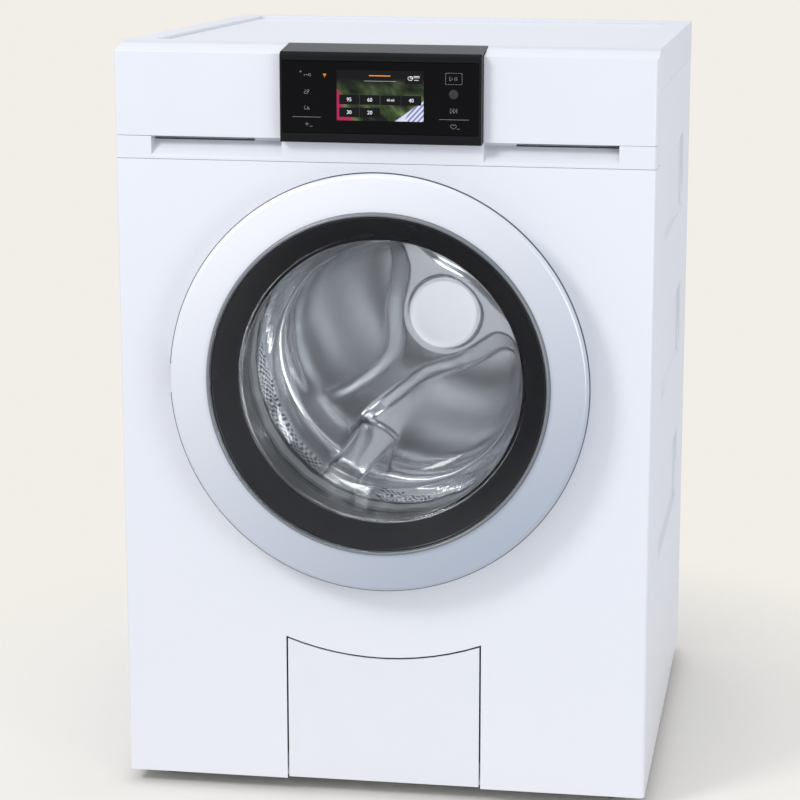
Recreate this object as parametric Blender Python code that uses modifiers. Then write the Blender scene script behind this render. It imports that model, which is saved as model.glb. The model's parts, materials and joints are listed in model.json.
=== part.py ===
"""Washing machine, modelled piece by piece in metres, with +Z up and the door facing -Y."""

import math

import bmesh
import bpy
from mathutils import Matrix, Vector

# Overall size. The origin is the middle of the footprint, on the floor.
WIDTH = 0.595
HEIGHT = 0.850
DEPTH = 0.600
DOOR_PROUD = 0.039
FEET_GAP = 0.015
GAP = 0.0003
OVERRUN = 0.010
MERGE = 0.000002
SCREW_MERGE = 0.00001
FRONT_Y = DOOR_PROUD / 2 - DEPTH / 2
HALF_WIDTH = WIDTH / 2

# Cabinet sheets and the front assembly that wraps round the sides
PANEL_WALL = 0.0015
SIDE_WALL = 0.0012
RETURN_DEPTH = 0.060
CORNER_RADIUS = 0.005
CORNER_STEPS = 3
SHARPEST_SHARE = 0.5
HEAD_HEIGHT = 0.1267
STRIP_HEIGHT = 0.0251
SKIRT_HEIGHT = 0.0460
BEVEL_RISE = 0.0093
BEVEL_DEPTH = 0.038
SPLIT_DEPTH = 0.018
LID_REAR_MARGIN = 0.0015
LID_OVERHANG = 0.0055
PANEL_TOP_Z = HEIGHT - HEAD_HEIGHT
STRIP_TOP_Z = PANEL_TOP_Z + STRIP_HEIGHT
LID_SKIRT_Z = HEIGHT - SKIRT_HEIGHT
BEVEL_START_Z = HEIGHT - BEVEL_RISE
BEVEL_SLOPE = BEVEL_RISE / BEVEL_DEPTH
LID_REAR_DEPTH = DEPTH - LID_REAR_MARGIN
SIDE_REAR_DEPTH = LID_REAR_DEPTH - LID_OVERHANG

# Door centre, which hangs from the panel's top, and the opening behind it
RING_RADIUS = 0.2324
RING_MARGIN = 0.0063
DOOR_Z = PANEL_TOP_Z - RING_MARGIN - RING_RADIUS
OPENING_RADIUS = 0.190
TURN_STEPS = 48
INNER_STEPS = 28
TUB_STEPS = 28
DRUM_STEPS = 36

# Service flap, whose top edge is an arc about the door centre
FLAP_HALF = 0.1095
FLAP_ARC_RADIUS = 0.3217
FLAP_GAP = 0.0020
FLAP_WALL = 0.0025
FLAP_ARC_STEPS = 12
FLAP_AXIS_LIFT = 0.006
FLAP_AXIS_DEPTH = 0.006

# Door, measured as radius and as depth behind the panel's face (proud is negative)
RING_INNER = 0.1905
RING_EDGE_PROUD = 0.0295
RING_FACE_PROUD = 0.0335
RING_INNER_PROUD = 0.0350
RING_BACK_PROUD = 0.0015
RING_BACK_RADIUS = 0.2225
RING_WALL = 0.0025
RIM_INNER = 0.1855
RIM_WALL = 0.0047
BEZEL_FRONT_PROUD = 0.0335
BEZEL_INNER = 0.1600
BEZEL_BACK_PROUD = 0.0085
BEZEL_WALL = 0.0030
GLASS_WALL = 0.0036
GLASS_FLANGE = 0.1780
GLASS_NECK = 0.1586
BOWL_DEPTH = 0.1195
BOWL_RADIUS = 0.1470
BOWL_CORNER = 0.0340
BOWL_CROWN = 0.0030
BOWL_STEPS = 4
BACK_RING_INNER = 0.1625
BACK_RING_WALL = 0.0030
BACK_RING_PROUD = 0.0012

# Door hinge, hidden behind the left side of the ring
HINGE_X = -0.216
HINGE_PROUD = 0.024
HINGE_PIN_RADIUS = 0.0030
HINGE_EYE_RADIUS = 0.0060
HINGE_EYE_HALF = 0.0145
HINGE_EAR_HALF = 0.0250
HINGE_PAD_HALF = 0.0360
HINGE_STEM_X = -0.2035
HINGE_STEM_WALL = 0.0050
HINGE_SLOT_HALF = 0.0165
HINGE_WEB_X = -0.1955
HINGE_WEB_END_X = -0.1810
HINGE_PLATE_WALL = 0.0030
HINGE_PLATE_X = -0.2480
HINGE_RELIEF_PROUD = 0.0305
EYE_STEPS = 12

# Door catch on the right
HOOK_X = 0.2100
HOOK_WALL = 0.0060
HOOK_HALF = 0.0080
HOOK_REACH = 0.0220
HOOK_BARB = 0.0040
LOCK_SLOT_LOW_X = 0.2045
LOCK_SLOT_HIGH_X = 0.2200
LOCK_SLOT_HALF = 0.0140
LOCK_HALF = 0.0420
LOCK_DEPTH = 0.0420
LOCK_HIGH_X = 0.2480
LOCK_WALL = 0.0030

# Grip strip with a finger recess each side of the display
STRIP_FRONT_WALL = 0.026
STRIP_SIDE_WALL = 0.0025
RECESS_INNER_X = 0.1110
RECESS_OUTER_X = 0.2570
RECESS_SILL = 0.0038
RECESS_LINTEL = 0.0039
RECESS_LOW_Z = PANEL_TOP_Z + RECESS_SILL
RECESS_HIGH_Z = STRIP_TOP_Z - RECESS_LINTEL
RECESS_DEPTH = 0.015
SLOT_INNER_X = 0.1450
SLOT_DEPTH = 0.022

# Control panel: fixed right half, drawer front at the left, carrier behind both
FASCIA_LOW_Z = STRIP_TOP_Z + GAP
FASCIA_WALL = 0.0028
FASCIA_INNER_X = 0.1106
CARRIER_WALL = 0.0025
CARRIER_DEPTH = SPLIT_DEPTH + GAP
DISPLAY_HALF = 0.1100
DISPLAY_PROUD = 0.0110
DISPLAY_TUCK = 0.0021
DISPLAY_TOP_STEP = 0.0010
DISPLAY_SHOULDER_STEP = 0.0007
DISPLAY_LOW_Z = STRIP_TOP_Z - DISPLAY_TUCK
DISPLAY_HIGH_Z = HEIGHT - DISPLAY_TOP_STEP
DISPLAY_SHOULDER_Z = BEVEL_START_Z - DISPLAY_SHOULDER_STEP
DISPLAY_SHOULDER_PROUD = 0.0075
DISPLAY_TOP_DEPTH = 0.030
DISPLAY_BACK_DEPTH = 0.0177
PANE_LEFT_X = -0.1074
PANE_RIGHT_X = 0.1065
PANE_CHIN = 0.0102
PANE_BROW = 0.0060
PANE_LOW_Z = DISPLAY_LOW_Z + PANE_CHIN
PANE_HIGH_Z = DISPLAY_SHOULDER_Z - PANE_BROW
PANE_WALL = 0.0018
SCREEN_HALF = 0.0476
SCREEN_CHIN = 0.0140
SCREEN_BROW = 0.0090
SCREEN_LOW_Z = PANE_LOW_Z + SCREEN_CHIN
SCREEN_HIGH_Z = PANE_HIGH_Z - SCREEN_BROW
SCREEN_WALL = 0.0050
BOARD_HALF = 0.0900
BOARD_MARGIN = 0.0045
BOARD_LOW_Z = SCREEN_LOW_Z - BOARD_MARGIN
BOARD_HIGH_Z = SCREEN_HIGH_Z + BOARD_MARGIN
BOARD_DEPTH = 0.0290
BOARD_WALL = 0.0016
CHIP_WALL = 0.0060
CHIP_SIDE = 0.0160
CHIP_COUNT = 4
POST_SIDE = 0.0060

# Detergent drawer and the box that it slides in
TRAY_LEFT_X = -0.2780
TRAY_RIGHT_X = -0.1300
TRAY_LIFT = 0.0073
TRAY_HEADROOM = 0.0320
TRAY_LOW_Z = FASCIA_LOW_Z + TRAY_LIFT
TRAY_HIGH_Z = HEIGHT - TRAY_HEADROOM
TRAY_WALL = 0.0022
TRAY_REAR_DEPTH = 0.2800
TRAY_SPLIT_X = (-0.2230, -0.1800)
DISPENSER_WALL = 0.0025
DISPENSER_CLEARANCE = 0.0015
DISPENSER_SPARE = 0.0200
DISPENSER_REAR_DEPTH = TRAY_REAR_DEPTH + DISPENSER_SPARE
SIPHON_LENGTH = 0.0700
SIPHON_DROP = 0.0060
SIPHON_HIGH_Z = TRAY_HIGH_Z - SIPHON_DROP
SIPHON_WALL = 0.0040
SPOUT_RADIUS = 0.0200
SPOUT_BORE = 0.0160
SPOUT_X = -0.1600
SPOUT_INSET = 0.0500
SPOUT_DEPTH = DISPENSER_REAR_DEPTH - SPOUT_INSET
SPOUT_HEIGHT = 0.0120

# Lid
LID_WALL = 0.0030
LID_BORDER = 0.0285
LID_RECESS = 0.0035
LID_PLATE_WALL = 0.0030
LID_LEDGE = 0.0080

# Side panels with three pressed fields
SIDE_FIELD_FRONT = 0.147
SIDE_FIELD_REAR_MARGIN = 0.134
SIDE_FIELD_REAR = DEPTH - SIDE_FIELD_REAR_MARGIN
SIDE_FIELD_SHARES = ((0.2918, 0.3988), (0.5141, 0.6235), (0.7353, 0.8471))
SIDE_FIELDS_Z = [(low_share * HEIGHT, high_share * HEIGHT) for low_share, high_share in SIDE_FIELD_SHARES]
SIDE_FIELD_SINK = 0.0035
SIDE_FIELD_BEVEL = 0.0080
SIDE_FLANGE = 0.0120

# Rear panel and its service cover
REAR_WALL = 0.0012
REAR_LOW_Z = 0.0450
REAR_CLEARANCE = 0.0005
REAR_HIGH_Z = LID_SKIRT_Z - REAR_CLEARANCE
REAR_FLANGE = 0.0150
COVER_HALF = 0.2000
COVER_BELOW = 0.2446
COVER_ABOVE = 0.1754
COVER_LOW_Z = DOOR_Z - COVER_BELOW
COVER_HIGH_Z = DOOR_Z + COVER_ABOVE
COVER_RIM = 0.0150
COVER_BEVEL = 0.0120
COVER_OPENING_MARGIN = 0.0200
LOUVRE_COUNT = 5
LOUVRE_LENGTH = 0.1400
LOUVRE_HEIGHT = 0.0050
LOUVRE_PITCH = 0.0180

# Base pan and feet
BASE_WALL = 0.0020
BASE_HEIGHT = 0.0280
BASE_INSET = 0.0030
BASE_FRONT_DEPTH = 0.0120
FOOT_X = 0.2550
FOOT_INSET = 0.0550
FOOT_DEPTHS = (FOOT_INSET, DEPTH - FOOT_INSET)
FOOT_RADIUS = 0.0200
FOOT_PAD_HEIGHT = 0.0110
FOOT_SCREW_RADIUS = 0.0050
FOOT_SCREW_TOP_Z = 0.0600
FOOT_BORE = 0.0054
FOOT_BOSS_RADIUS = 0.0120
FOOT_STEPS = 12

# Tub, drum and drive, all about the door's axis
TUB_INNER = 0.2560
TUB_WALL = 0.0035
TUB_FLANGE = 0.2680
TUB_FLANGE_WALL = 0.0040
TUB_FRONT_DEPTH = 0.0968
TUB_SPLIT_DEPTH = 0.2035
TUB_REAR_ROOM = 0.1320
TUB_REAR_DEPTH = DEPTH - TUB_REAR_ROOM
TUB_REAR_CONE = 0.0175
TUB_COLLAR_DEPTH = 0.0780
TUB_COLLAR = 0.1702
HUB_RADIUS = 0.0400
HUB_FRONT_REACH = 0.0130
HUB_REAR_REACH = 0.0350
HUB_FRONT_DEPTH = TUB_REAR_DEPTH - HUB_FRONT_REACH
HUB_REAR_DEPTH = TUB_REAR_DEPTH + HUB_REAR_REACH
SEAL_RADIUS = 0.0330
SEAL_WALL = 0.0050
BEARING_FRONT = (0.0308, 0.0155)
BEARING_REAR = (0.0258, 0.0140)
HUB_SHOULDER = 0.0230
SHAFT_FRONT_RADIUS = 0.0150
SHAFT_REAR_RADIUS = 0.0125
SHAFT_CLEARANCE = 0.0003
TUB_RIBS = 6
TUB_RIB_WALL = 0.0040
TUB_RIB_DEPTH = 0.0180
TUB_RIB_OUTER = 0.2300

DRUM_INNER = 0.2440
DRUM_WALL = 0.0012
DRUM_MOUTH = 0.1680
DRUM_FRONT_DEPTH = 0.1060
DRUM_SHOULDER = 0.0180
DRUM_REAR_ROOM = 0.0280
DRUM_REAR_DEPTH = TUB_REAR_DEPTH - DRUM_REAR_ROOM
DRUM_CORNER = 0.0160
DRUM_LIP = 0.0030
LIFTER_COUNT = 3
LIFTER_LEAN = 28
LIFTER_HEIGHT = 0.0540
LIFTER_BASE_HALF = 0.0320
LIFTER_TOP_HALF = 0.0110
LIFTER_START_DEPTH = 0.1300
LIFTER_END_MARGIN = 0.0150
LIFTER_END_DEPTH = DRUM_REAR_DEPTH - LIFTER_END_MARGIN
LIFTER_TAPER_SHARE = 0.80
LIFTER_FILLET = 0.0100
SPIDER_ARMS = 3
SPIDER_HUB = 0.0300
SPIDER_REACH = 0.2250
SPIDER_ROOT_HALF = 0.0240
SPIDER_TIP_HALF = 0.0140
SPIDER_WALL = 0.0120
SPIDER_HUB_WALL = 0.0130

PULLEY_RADIUS = 0.1450
PULLEY_STEP = 0.0055
PULLEY_DEPTH = HUB_REAR_DEPTH + PULLEY_STEP
PULLEY_WIDTH = 0.0180
PULLEY_RIM_WALL = 0.0070
PULLEY_WEB = 0.0040
PULLEY_HUB = 0.0240
PULLEY_HOLES = 5
PULLEY_HOLE_RADIUS = 0.0330
PULLEY_HOLE_CIRCLE = 0.0830
BOLT_HEAD_RADIUS = 0.0110
BOLT_HEAD_HEIGHT = 0.0070
WASHER_RADIUS = 0.0170
WASHER_WALL = 0.0020
HEX_SIDES = 6
BELT_WALL = 0.0030
BELT_WIDTH = 0.0120
BELT_STEPS = 24
BELT_NOSE_STEPS = 6

MOTOR_X = -0.0250
MOTOR_DROP = 0.3546
MOTOR_Z = DOOR_Z - MOTOR_DROP
MOTOR_RADIUS = 0.0600
MOTOR_LENGTH = 0.1400
MOTOR_STEP = 0.0385
MOTOR_REAR_DEPTH = PULLEY_DEPTH - MOTOR_STEP
MOTOR_FRONT_DEPTH = MOTOR_REAR_DEPTH - MOTOR_LENGTH
MOTOR_BELL = 0.0100
MOTOR_NECK = 0.0450
MOTOR_SHAFT_RADIUS = 0.0070
MOTOR_SHAFT_INSET = 0.0300
MOTOR_PULLEY_RADIUS = 0.0100
MOTOR_LUG_WALL = 0.0160
MOTOR_LUG_SPREAD = 0.0240

# Sump, heater, dampers, springs and counterweight
SUMP_HALF = 0.0600
SUMP_DROP = 0.2846
SUMP_Z = DOOR_Z - SUMP_DROP
SUMP_FRONT_DEPTH = 0.2150
SUMP_REAR_DEPTH = HUB_FRONT_DEPTH
SUMP_WALL = 0.0035
HEATER_HALF = 0.0260
HEATER_RADIUS = 0.0040
HEATER_LIFT = 0.0150
HEATER_END_MARGIN = 0.0200
HEATER_Z = SUMP_Z + HEATER_LIFT
HEATER_END_DEPTH = SUMP_REAR_DEPTH - HEATER_END_MARGIN
HEATER_PLATE_HALF = 0.0420
HEATER_PLATE_HALF_HEIGHT = 0.0095
HEATER_PLATE_WALL = 0.0040
DAMPER_X = 0.1650
DAMPER_DEPTH = 0.2800
DAMPER_TUBE_RADIUS = 0.0160
DAMPER_BORE = 0.0066
DAMPER_ROD_RADIUS = 0.0062
DAMPER_TUBE_TOP_Z = 0.1750
DAMPER_BORE_LOW_Z = 0.0700
DAMPER_ROD_LOW_Z = 0.0900
DAMPER_BOSS_DROP = 0.2296
DAMPER_BOSS_HEIGHT = 0.0500
DAMPER_BOSS_Z = DOOR_Z - DAMPER_BOSS_DROP
DAMPER_BOSS_TOP_Z = DAMPER_BOSS_Z + DAMPER_BOSS_HEIGHT
DAMPER_BOSS_HALF = 0.0130
DAMPER_EYE_HEIGHT = 0.0160
DAMPER_EYE_HALF = 0.0090
SPRING_X = 0.1850
SPRING_CLEARANCE = 0.0300
SPRING_DEPTH = DISPENSER_REAR_DEPTH + SPRING_CLEARANCE
SPRING_RADIUS = 0.0110
SPRING_WIRE = 0.0016
SPRING_TURNS = 5
SPRING_TURN_POINTS = 8
SPRING_BOSS_LIFT = 0.1604
SPRING_BOSS_HEIGHT = 0.0450
SPRING_BOSS_Z = DOOR_Z + SPRING_BOSS_LIFT
SPRING_BOSS_TOP_Z = SPRING_BOSS_Z + SPRING_BOSS_HEIGHT
SPRING_BOSS_HALF = 0.0130
RAIL_DROP = 0.0700
RAIL_LOW_Z = HEIGHT - RAIL_DROP
RAIL_HEIGHT = 0.0200
RAIL_HALF = 0.0140
RAIL_WALL = 0.0020
WEIGHT_INNER = 0.1900
WEIGHT_OUTER = 0.2480
WEIGHT_WALL = 0.0240
WEIGHT_CHAMFER = 0.0080
WEIGHT_CUT_Z = 0.0600

# Gasket between the front panel and the tub, as a folded wall
GASKET_WALL = 0.0030
GASKET_END_DEPTH = 0.0900
CLAMP_WALL = 0.0022
CLAMP_WIDTH = 0.0080

# Pump, filter and hoses
PUMP_X = 0.0600
PUMP_Z = 0.0880
PUMP_RADIUS = 0.0380
PUMP_FRONT_DEPTH = 0.0460
PUMP_REAR_DEPTH = 0.1500
PUMP_BORE = 0.0266
PUMP_BORE_LENGTH = 0.0640
PUMP_FOOT_HALF = 0.0300
FILTER_RADIUS = 0.0262
FILTER_FLANGE = 0.0340
FILTER_FLANGE_WALL = 0.0060
FILTER_GRIP_HALF = 0.0260
FILTER_GRIP_WALL = 0.0080
FILTER_GRIP_DEPTH = 0.0160
FILTER_LENGTH = 0.0560
SUMP_HOSE_X = 0.0400
SUMP_HOSE_DEPTH = 0.2400
SUMP_HOSE_RADIUS = 0.0150
DRAIN_RADIUS = 0.0110
DRAIN_X = 0.2150
DRAIN_Z = 0.0720
DRAIN_SPOUT_Z = 0.1200
VALVE_X = -0.2350
VALVE_DROP = 0.0840
VALVE_Z = HEIGHT - VALVE_DROP
VALVE_SIDE = 0.0220
VALVE_INSET = 0.0700
VALVE_DEPTH = DEPTH - VALVE_INSET
VALVE_NOSE_RADIUS = 0.0130
VALVE_NOSE_BORE = 0.0090
INLET_RADIUS = 0.0080
HOLE_CLEARANCE = 0.0008


SIDES = (-1, 1)
HALF_TURN = 180

# Further sizes of single pieces
FOOT_NAMES = ("foot_front_left", "foot_front_right", "foot_rear_left", "foot_rear_right")
FOOT_CROWN_SHARE = 0.85
FOOT_NUT_RADIUS = 0.0100
SIPHON_PIPE_RADIUS = 0.0060
FLAP_RIB_X = 0.0900
FLAP_RIB_DEPTH = 0.0100
FLAP_RIB_MARGIN = 0.0160
FLAP_BARREL_RADIUS = 0.0040
FLAP_BARREL_HALF = 0.0700
FLAP_PIN_RADIUS = 0.0014
FLAP_EAR_RADIUS = 0.0031
FLAP_EAR_WALL = 0.0080
FLAP_EAR_ARM_SHARE = 0.85
GASKET_LIP_REACH = 0.0070
GASKET_THROAT = 0.1720
GASKET_SEAL = 0.1602
GASKET_SEAL_DEPTH = 0.0240
GASKET_FOLD = 0.1980
GASKET_FOLD_DEPTH = 0.0520
GASKET_FOLD_STEP = 0.0100
TUB_SHOULDER = 0.0120
WEIGHT_CUT_X = 0.2350
SUMP_WALL_HEIGHT = 0.0500
SUMP_TOP_Z = SUMP_Z + SUMP_WALL_HEIGHT
HOSE_BOSS_LIFT = 0.1954
HOSE_BOSS_HEIGHT = 0.0260
HOSE_BOSS_Z = DOOR_Z + HOSE_BOSS_LIFT
HOSE_BOSS_TOP_Z = HOSE_BOSS_Z + HOSE_BOSS_HEIGHT
DRUM_PRESS_RADIUS = 0.1500
DRUM_PRESS_STEP = 0.0060
DRUM_BOSS_RADIUS = 0.0500
FACET_SHARE = 0.9985
LIFTER_SLOPE_SHARE = 0.45
LIFTER_BEVEL_ANGLE = 30
BEARING_STEPS = 20
PULLEY_HOLE_STEPS = 10
FILTER_STEPS = 20
HOSE_STEPS = 3
EMPTY_SIZE = 0.05

# Where the rear sheet lies, just inside the side panels' rear flanges
REAR_PANEL_DEPTH = SIDE_REAR_DEPTH - SIDE_WALL - GAP - REAR_WALL

MATERIALS = {
    "white_paint": ((0.88, 0.89, 0.92), 0.35, 0.0),
    "white_plastic": ((0.86, 0.87, 0.90), 0.40, 0.0),
    "silver_trim": ((0.62, 0.66, 0.73), 0.35, 0.8),
    "grey_trim": ((0.33, 0.35, 0.37), 0.30, 0.9),
    "black_gloss": ((0.012, 0.012, 0.014), 0.12, 0.0),
    "black_satin": ((0.03, 0.03, 0.032), 0.35, 0.0),
    "clear_glass": ((0.90, 0.93, 0.95), 0.03, 0.0),
    "screen": ((0.05, 0.06, 0.08), 0.20, 0.0),
    "stainless": ((0.70, 0.71, 0.72), 0.25, 1.0),
    "cast_aluminium": ((0.62, 0.63, 0.64), 0.45, 1.0),
    "steel": ((0.50, 0.51, 0.52), 0.35, 1.0),
    "galvanised": ((0.60, 0.62, 0.63), 0.45, 1.0),
    "grey_rubber": ((0.22, 0.22, 0.23), 0.70, 0.0),
    "black_rubber": ((0.03, 0.03, 0.03), 0.75, 0.0),
    "tub_plastic": ((0.55, 0.56, 0.57), 0.50, 0.0),
    "grey_plastic": ((0.35, 0.36, 0.37), 0.50, 0.0),
    "concrete": ((0.48, 0.47, 0.45), 0.90, 0.0),
    "circuit_board": ((0.05, 0.22, 0.10), 0.50, 0.0),
}

for old in list(bpy.data.objects):
    bpy.data.objects.remove(old)

pieces = bpy.data.collections.new("washing_machine")
cutters = bpy.data.collections.new("cutters")
bpy.context.scene.collection.children.link(pieces)
bpy.context.scene.collection.children.link(cutters)
finishes = {}


def finish(name):
    """The Principled material of that name, made the first time it is asked for."""
    if name not in finishes:
        colour, roughness, metallic = MATERIALS[name]
        made = bpy.data.materials.new(name)
        made.use_nodes = True
        shader = made.node_tree.nodes["Principled BSDF"]
        shader.inputs["Base Color"].default_value = (*colour, 1.0)
        shader.inputs["Roughness"].default_value = roughness
        shader.inputs["Metallic"].default_value = metallic
        finishes[name] = made
    return finishes[name]


def depth_y(depth):
    """World Y of a depth behind the front panel's face."""
    return FRONT_Y + depth


def into(obj, collection):
    for holder in list(obj.users_collection):
        holder.objects.unlink(obj)
    collection.objects.link(obj)
    return obj


def named(obj, name, material=None, collection=None):
    obj.name = name
    obj.data.name = name
    into(obj, collection or pieces)
    if material:
        obj.data.materials.clear()
        obj.data.materials.append(finish(material))
    return obj


def box(name, low, high, material=None, collection=None):
    """A block between two corners, each given as X, depth, Z."""
    centre = [(a + b) / 2 for a, b in zip(low, high)]
    size = [b - a for a, b in zip(low, high)]
    bpy.ops.mesh.primitive_cube_add(size=1, location=(centre[0], depth_y(centre[1]), centre[2]))
    obj = bpy.context.object
    obj.scale = size
    bpy.ops.object.transform_apply(location=False, rotation=False, scale=True)
    return named(obj, name, material, collection)


def cylinder(name, radius, start, end, material=None, steps=INNER_STEPS, collection=None):
    """A round bar between two points, each given as X, depth, Z."""
    first = Vector((start[0], depth_y(start[1]), start[2]))
    last = Vector((end[0], depth_y(end[1]), end[2]))
    along = last - first
    bpy.ops.mesh.primitive_cylinder_add(vertices=steps, radius=radius, depth=along.length)
    obj = bpy.context.object
    turn = along.to_track_quat("Z", "Y").to_matrix().to_4x4()
    obj.matrix_world = Matrix.Translation((first + last) / 2) @ turn
    obj.data.shade_smooth()
    obj.data.set_sharp_from_angle(angle=math.radians(40))
    return named(obj, name, material, collection)


def turned(name, profile, material=None, steps=TURN_STEPS, centre=(0.0, DOOR_Z), collection=None):
    """A profile of (radius, depth) points turned about an axis along Y.
    A profile that starts and ends on the axis is solid, any other is a closed loop."""
    loop = list(profile)
    solid = loop[0][0] == 0 and loop[-1][0] == 0
    area = sum(a[0] * b[1] - b[0] * a[1] for a, b in zip(loop, loop[1:] + loop[:1]))
    if area > 0:
        loop.reverse()
    mesh = bpy.data.meshes.new(name)
    edges = [(i, i + 1) for i in range(len(loop) - 1)]
    if not solid:
        edges.append((len(loop) - 1, 0))
    mesh.from_pydata([(radius, 0.0, depth) for radius, depth in loop], edges, [])
    obj = bpy.data.objects.new(name, mesh)
    bpy.context.scene.collection.objects.link(obj)
    screw = obj.modifiers.new("turn", "SCREW")
    screw.steps = steps
    screw.render_steps = steps
    screw.use_merge_vertices = True
    screw.merge_threshold = SCREW_MERGE
    obj.matrix_world = (
        Matrix.Translation((centre[0], FRONT_Y, centre[1]))
        @ Matrix.Rotation(math.radians(-90), 4, "X")
    )
    return named(solid_mesh(obj), name, material, collection)


def solid_mesh(obj):
    """The object as a welded mesh with its faces pointing out, in place of its curve or modifiers."""
    bpy.context.view_layer.update()
    graph = bpy.context.evaluated_depsgraph_get()
    mesh = bpy.data.meshes.new_from_object(obj.evaluated_get(graph))
    made = bpy.data.objects.new(obj.name + "_mesh", mesh)
    made.matrix_world = obj.matrix_world
    bpy.context.scene.collection.objects.link(made)
    bpy.data.objects.remove(obj)
    work = bmesh.new()
    work.from_mesh(mesh)
    bmesh.ops.remove_doubles(work, verts=work.verts, dist=MERGE)
    bmesh.ops.recalc_face_normals(work, faces=work.faces)
    work.to_mesh(mesh)
    work.free()
    mesh.shade_smooth()
    mesh.set_sharp_from_angle(angle=math.radians(40))
    return made


PLANES = {
    "X": Matrix(((0, 0, 1, 0), (1, 0, 0, 0), (0, 1, 0, 0), (0, 0, 0, 1))),
    "Y": Matrix(((1, 0, 0, 0), (0, 0, -1, 0), (0, 1, 0, 0), (0, 0, 0, 1))),
    "Z": Matrix.Identity(4),
}


def extruded(name, outlines, axis, start, end, material=None, collection=None):
    """Flat outlines pushed along X, Y or Z from start to end. Points along X are (depth, z),
    along Y (x, z) with start and end as depths, and along Z (x, depth)."""
    curve = bpy.data.curves.new(name, "CURVE")
    curve.dimensions = "2D"
    curve.fill_mode = "BOTH"
    curve.extrude = abs(end - start) / 2
    for outline in outlines:
        spline = curve.splines.new("POLY")
        spline.points.add(len(outline) - 1)
        for point, (across, up) in zip(spline.points, outline):
            point.co = (across, up, 0.0, 1.0)
        spline.use_cyclic_u = True
    obj = bpy.data.objects.new(name, curve)
    bpy.context.scene.collection.objects.link(obj)
    middle = (start + end) / 2
    places = {"X": (middle, FRONT_Y, 0.0), "Y": (0.0, depth_y(middle), 0.0), "Z": (0.0, FRONT_Y, middle)}
    obj.matrix_world = Matrix.Translation(places[axis]) @ PLANES[axis]
    return named(solid_mesh(obj), name, material, collection)


def tube(name, points, radius, material, bevel=2):
    """A round tube through points given as X, depth, Z."""
    curve = bpy.data.curves.new(name, "CURVE")
    curve.dimensions = "3D"
    curve.bevel_depth = radius
    curve.bevel_resolution = bevel
    curve.use_fill_caps = True
    spline = curve.splines.new("POLY")
    spline.points.add(len(points) - 1)
    for point, (x, depth, z) in zip(spline.points, points):
        point.co = (x, depth_y(depth), z, 1.0)
    obj = bpy.data.objects.new(name, curve)
    bpy.context.scene.collection.objects.link(obj)
    return named(solid_mesh(obj), name, material)


def boolean(target, others, operation):
    for number, other in enumerate(others):
        into(other, cutters)
        other.hide_render = True
        other.display_type = "WIRE"
        step = target.modifiers.new(f"{operation.lower()}_{number}", "BOOLEAN")
        step.operation = operation
        step.solver = "EXACT"
        step.object = other
    return target


def cut(target, *others):
    return boolean(target, others, "DIFFERENCE")


def join(target, *others):
    return boolean(target, others, "UNION")


def wall_profile(points, wall):
    """A closed outline of even thickness about a chain of points."""
    one_side, other_side = [], []
    for index, point in enumerate(points):
        before = Vector(points[max(index - 1, 0)])
        after = Vector(points[min(index + 1, len(points) - 1)])
        here = Vector(point)
        arms = [arm.normalized() for arm in (here - before, after - here) if arm.length > 0]
        mean = sum(arms, Vector((0.0, 0.0))).normalized()
        normal = Vector((-mean.y, mean.x))
        reach = wall / 2 / max(SHARPEST_SHARE, abs(mean.dot(arms[0])))
        one_side.append(tuple(here + normal * reach))
        other_side.append(tuple(here - normal * reach))
    return one_side + other_side[::-1]


def arc(centre, radius, start, end, steps):
    """Points of a flat arc, with its angles in degrees."""
    angles = [math.radians(start + (end - start) * i / steps) for i in range(steps + 1)]
    return [(centre[0] + radius * math.cos(a), centre[1] + radius * math.sin(a)) for a in angles]


def wrap_outline(front_wall, side_wall, depth, half=HALF_WIDTH):
    """Plan outline of a U that wraps the front of the cabinet, with rounded front corners."""
    radius = CORNER_RADIUS
    left = arc((-half + radius, radius), radius, 180, 270, CORNER_STEPS)
    right = arc((half - radius, radius), radius, 270, 360, CORNER_STEPS)
    inner = half - side_wall
    outer = [(-half, depth)] + left + right + [(half, depth)]
    return outer + [(inner, depth), (inner, front_wall), (-inner, front_wall), (-inner, depth)]


def rectangle(low_across, low_up, high_across, high_up):
    return [
        (low_across, low_up), (high_across, low_up),
        (high_across, high_up), (low_across, high_up),
    ]


def rounded(low_across, low_up, high_across, high_up, radius, steps=3):
    """A rectangle with round corners."""
    corners = (
        (high_across - radius, high_up - radius, 0), (low_across + radius, high_up - radius, 90),
        (low_across + radius, low_up + radius, 180), (high_across - radius, low_up + radius, 270),
    )
    points = []
    for across, up, angle in corners:
        points += arc((across, up), radius, angle, angle + 90, steps)
    return points


def flap_outline(half, arc_radius, low_z):
    """The flap's face: straight sides under an arc about the door's centre."""
    spread = math.degrees(math.asin(half / arc_radius))
    top = arc((0.0, DOOR_Z), arc_radius, -90 + spread, -90 - spread, FLAP_ARC_STEPS)
    return top + [(-half, low_z), (half, low_z)]


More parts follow.
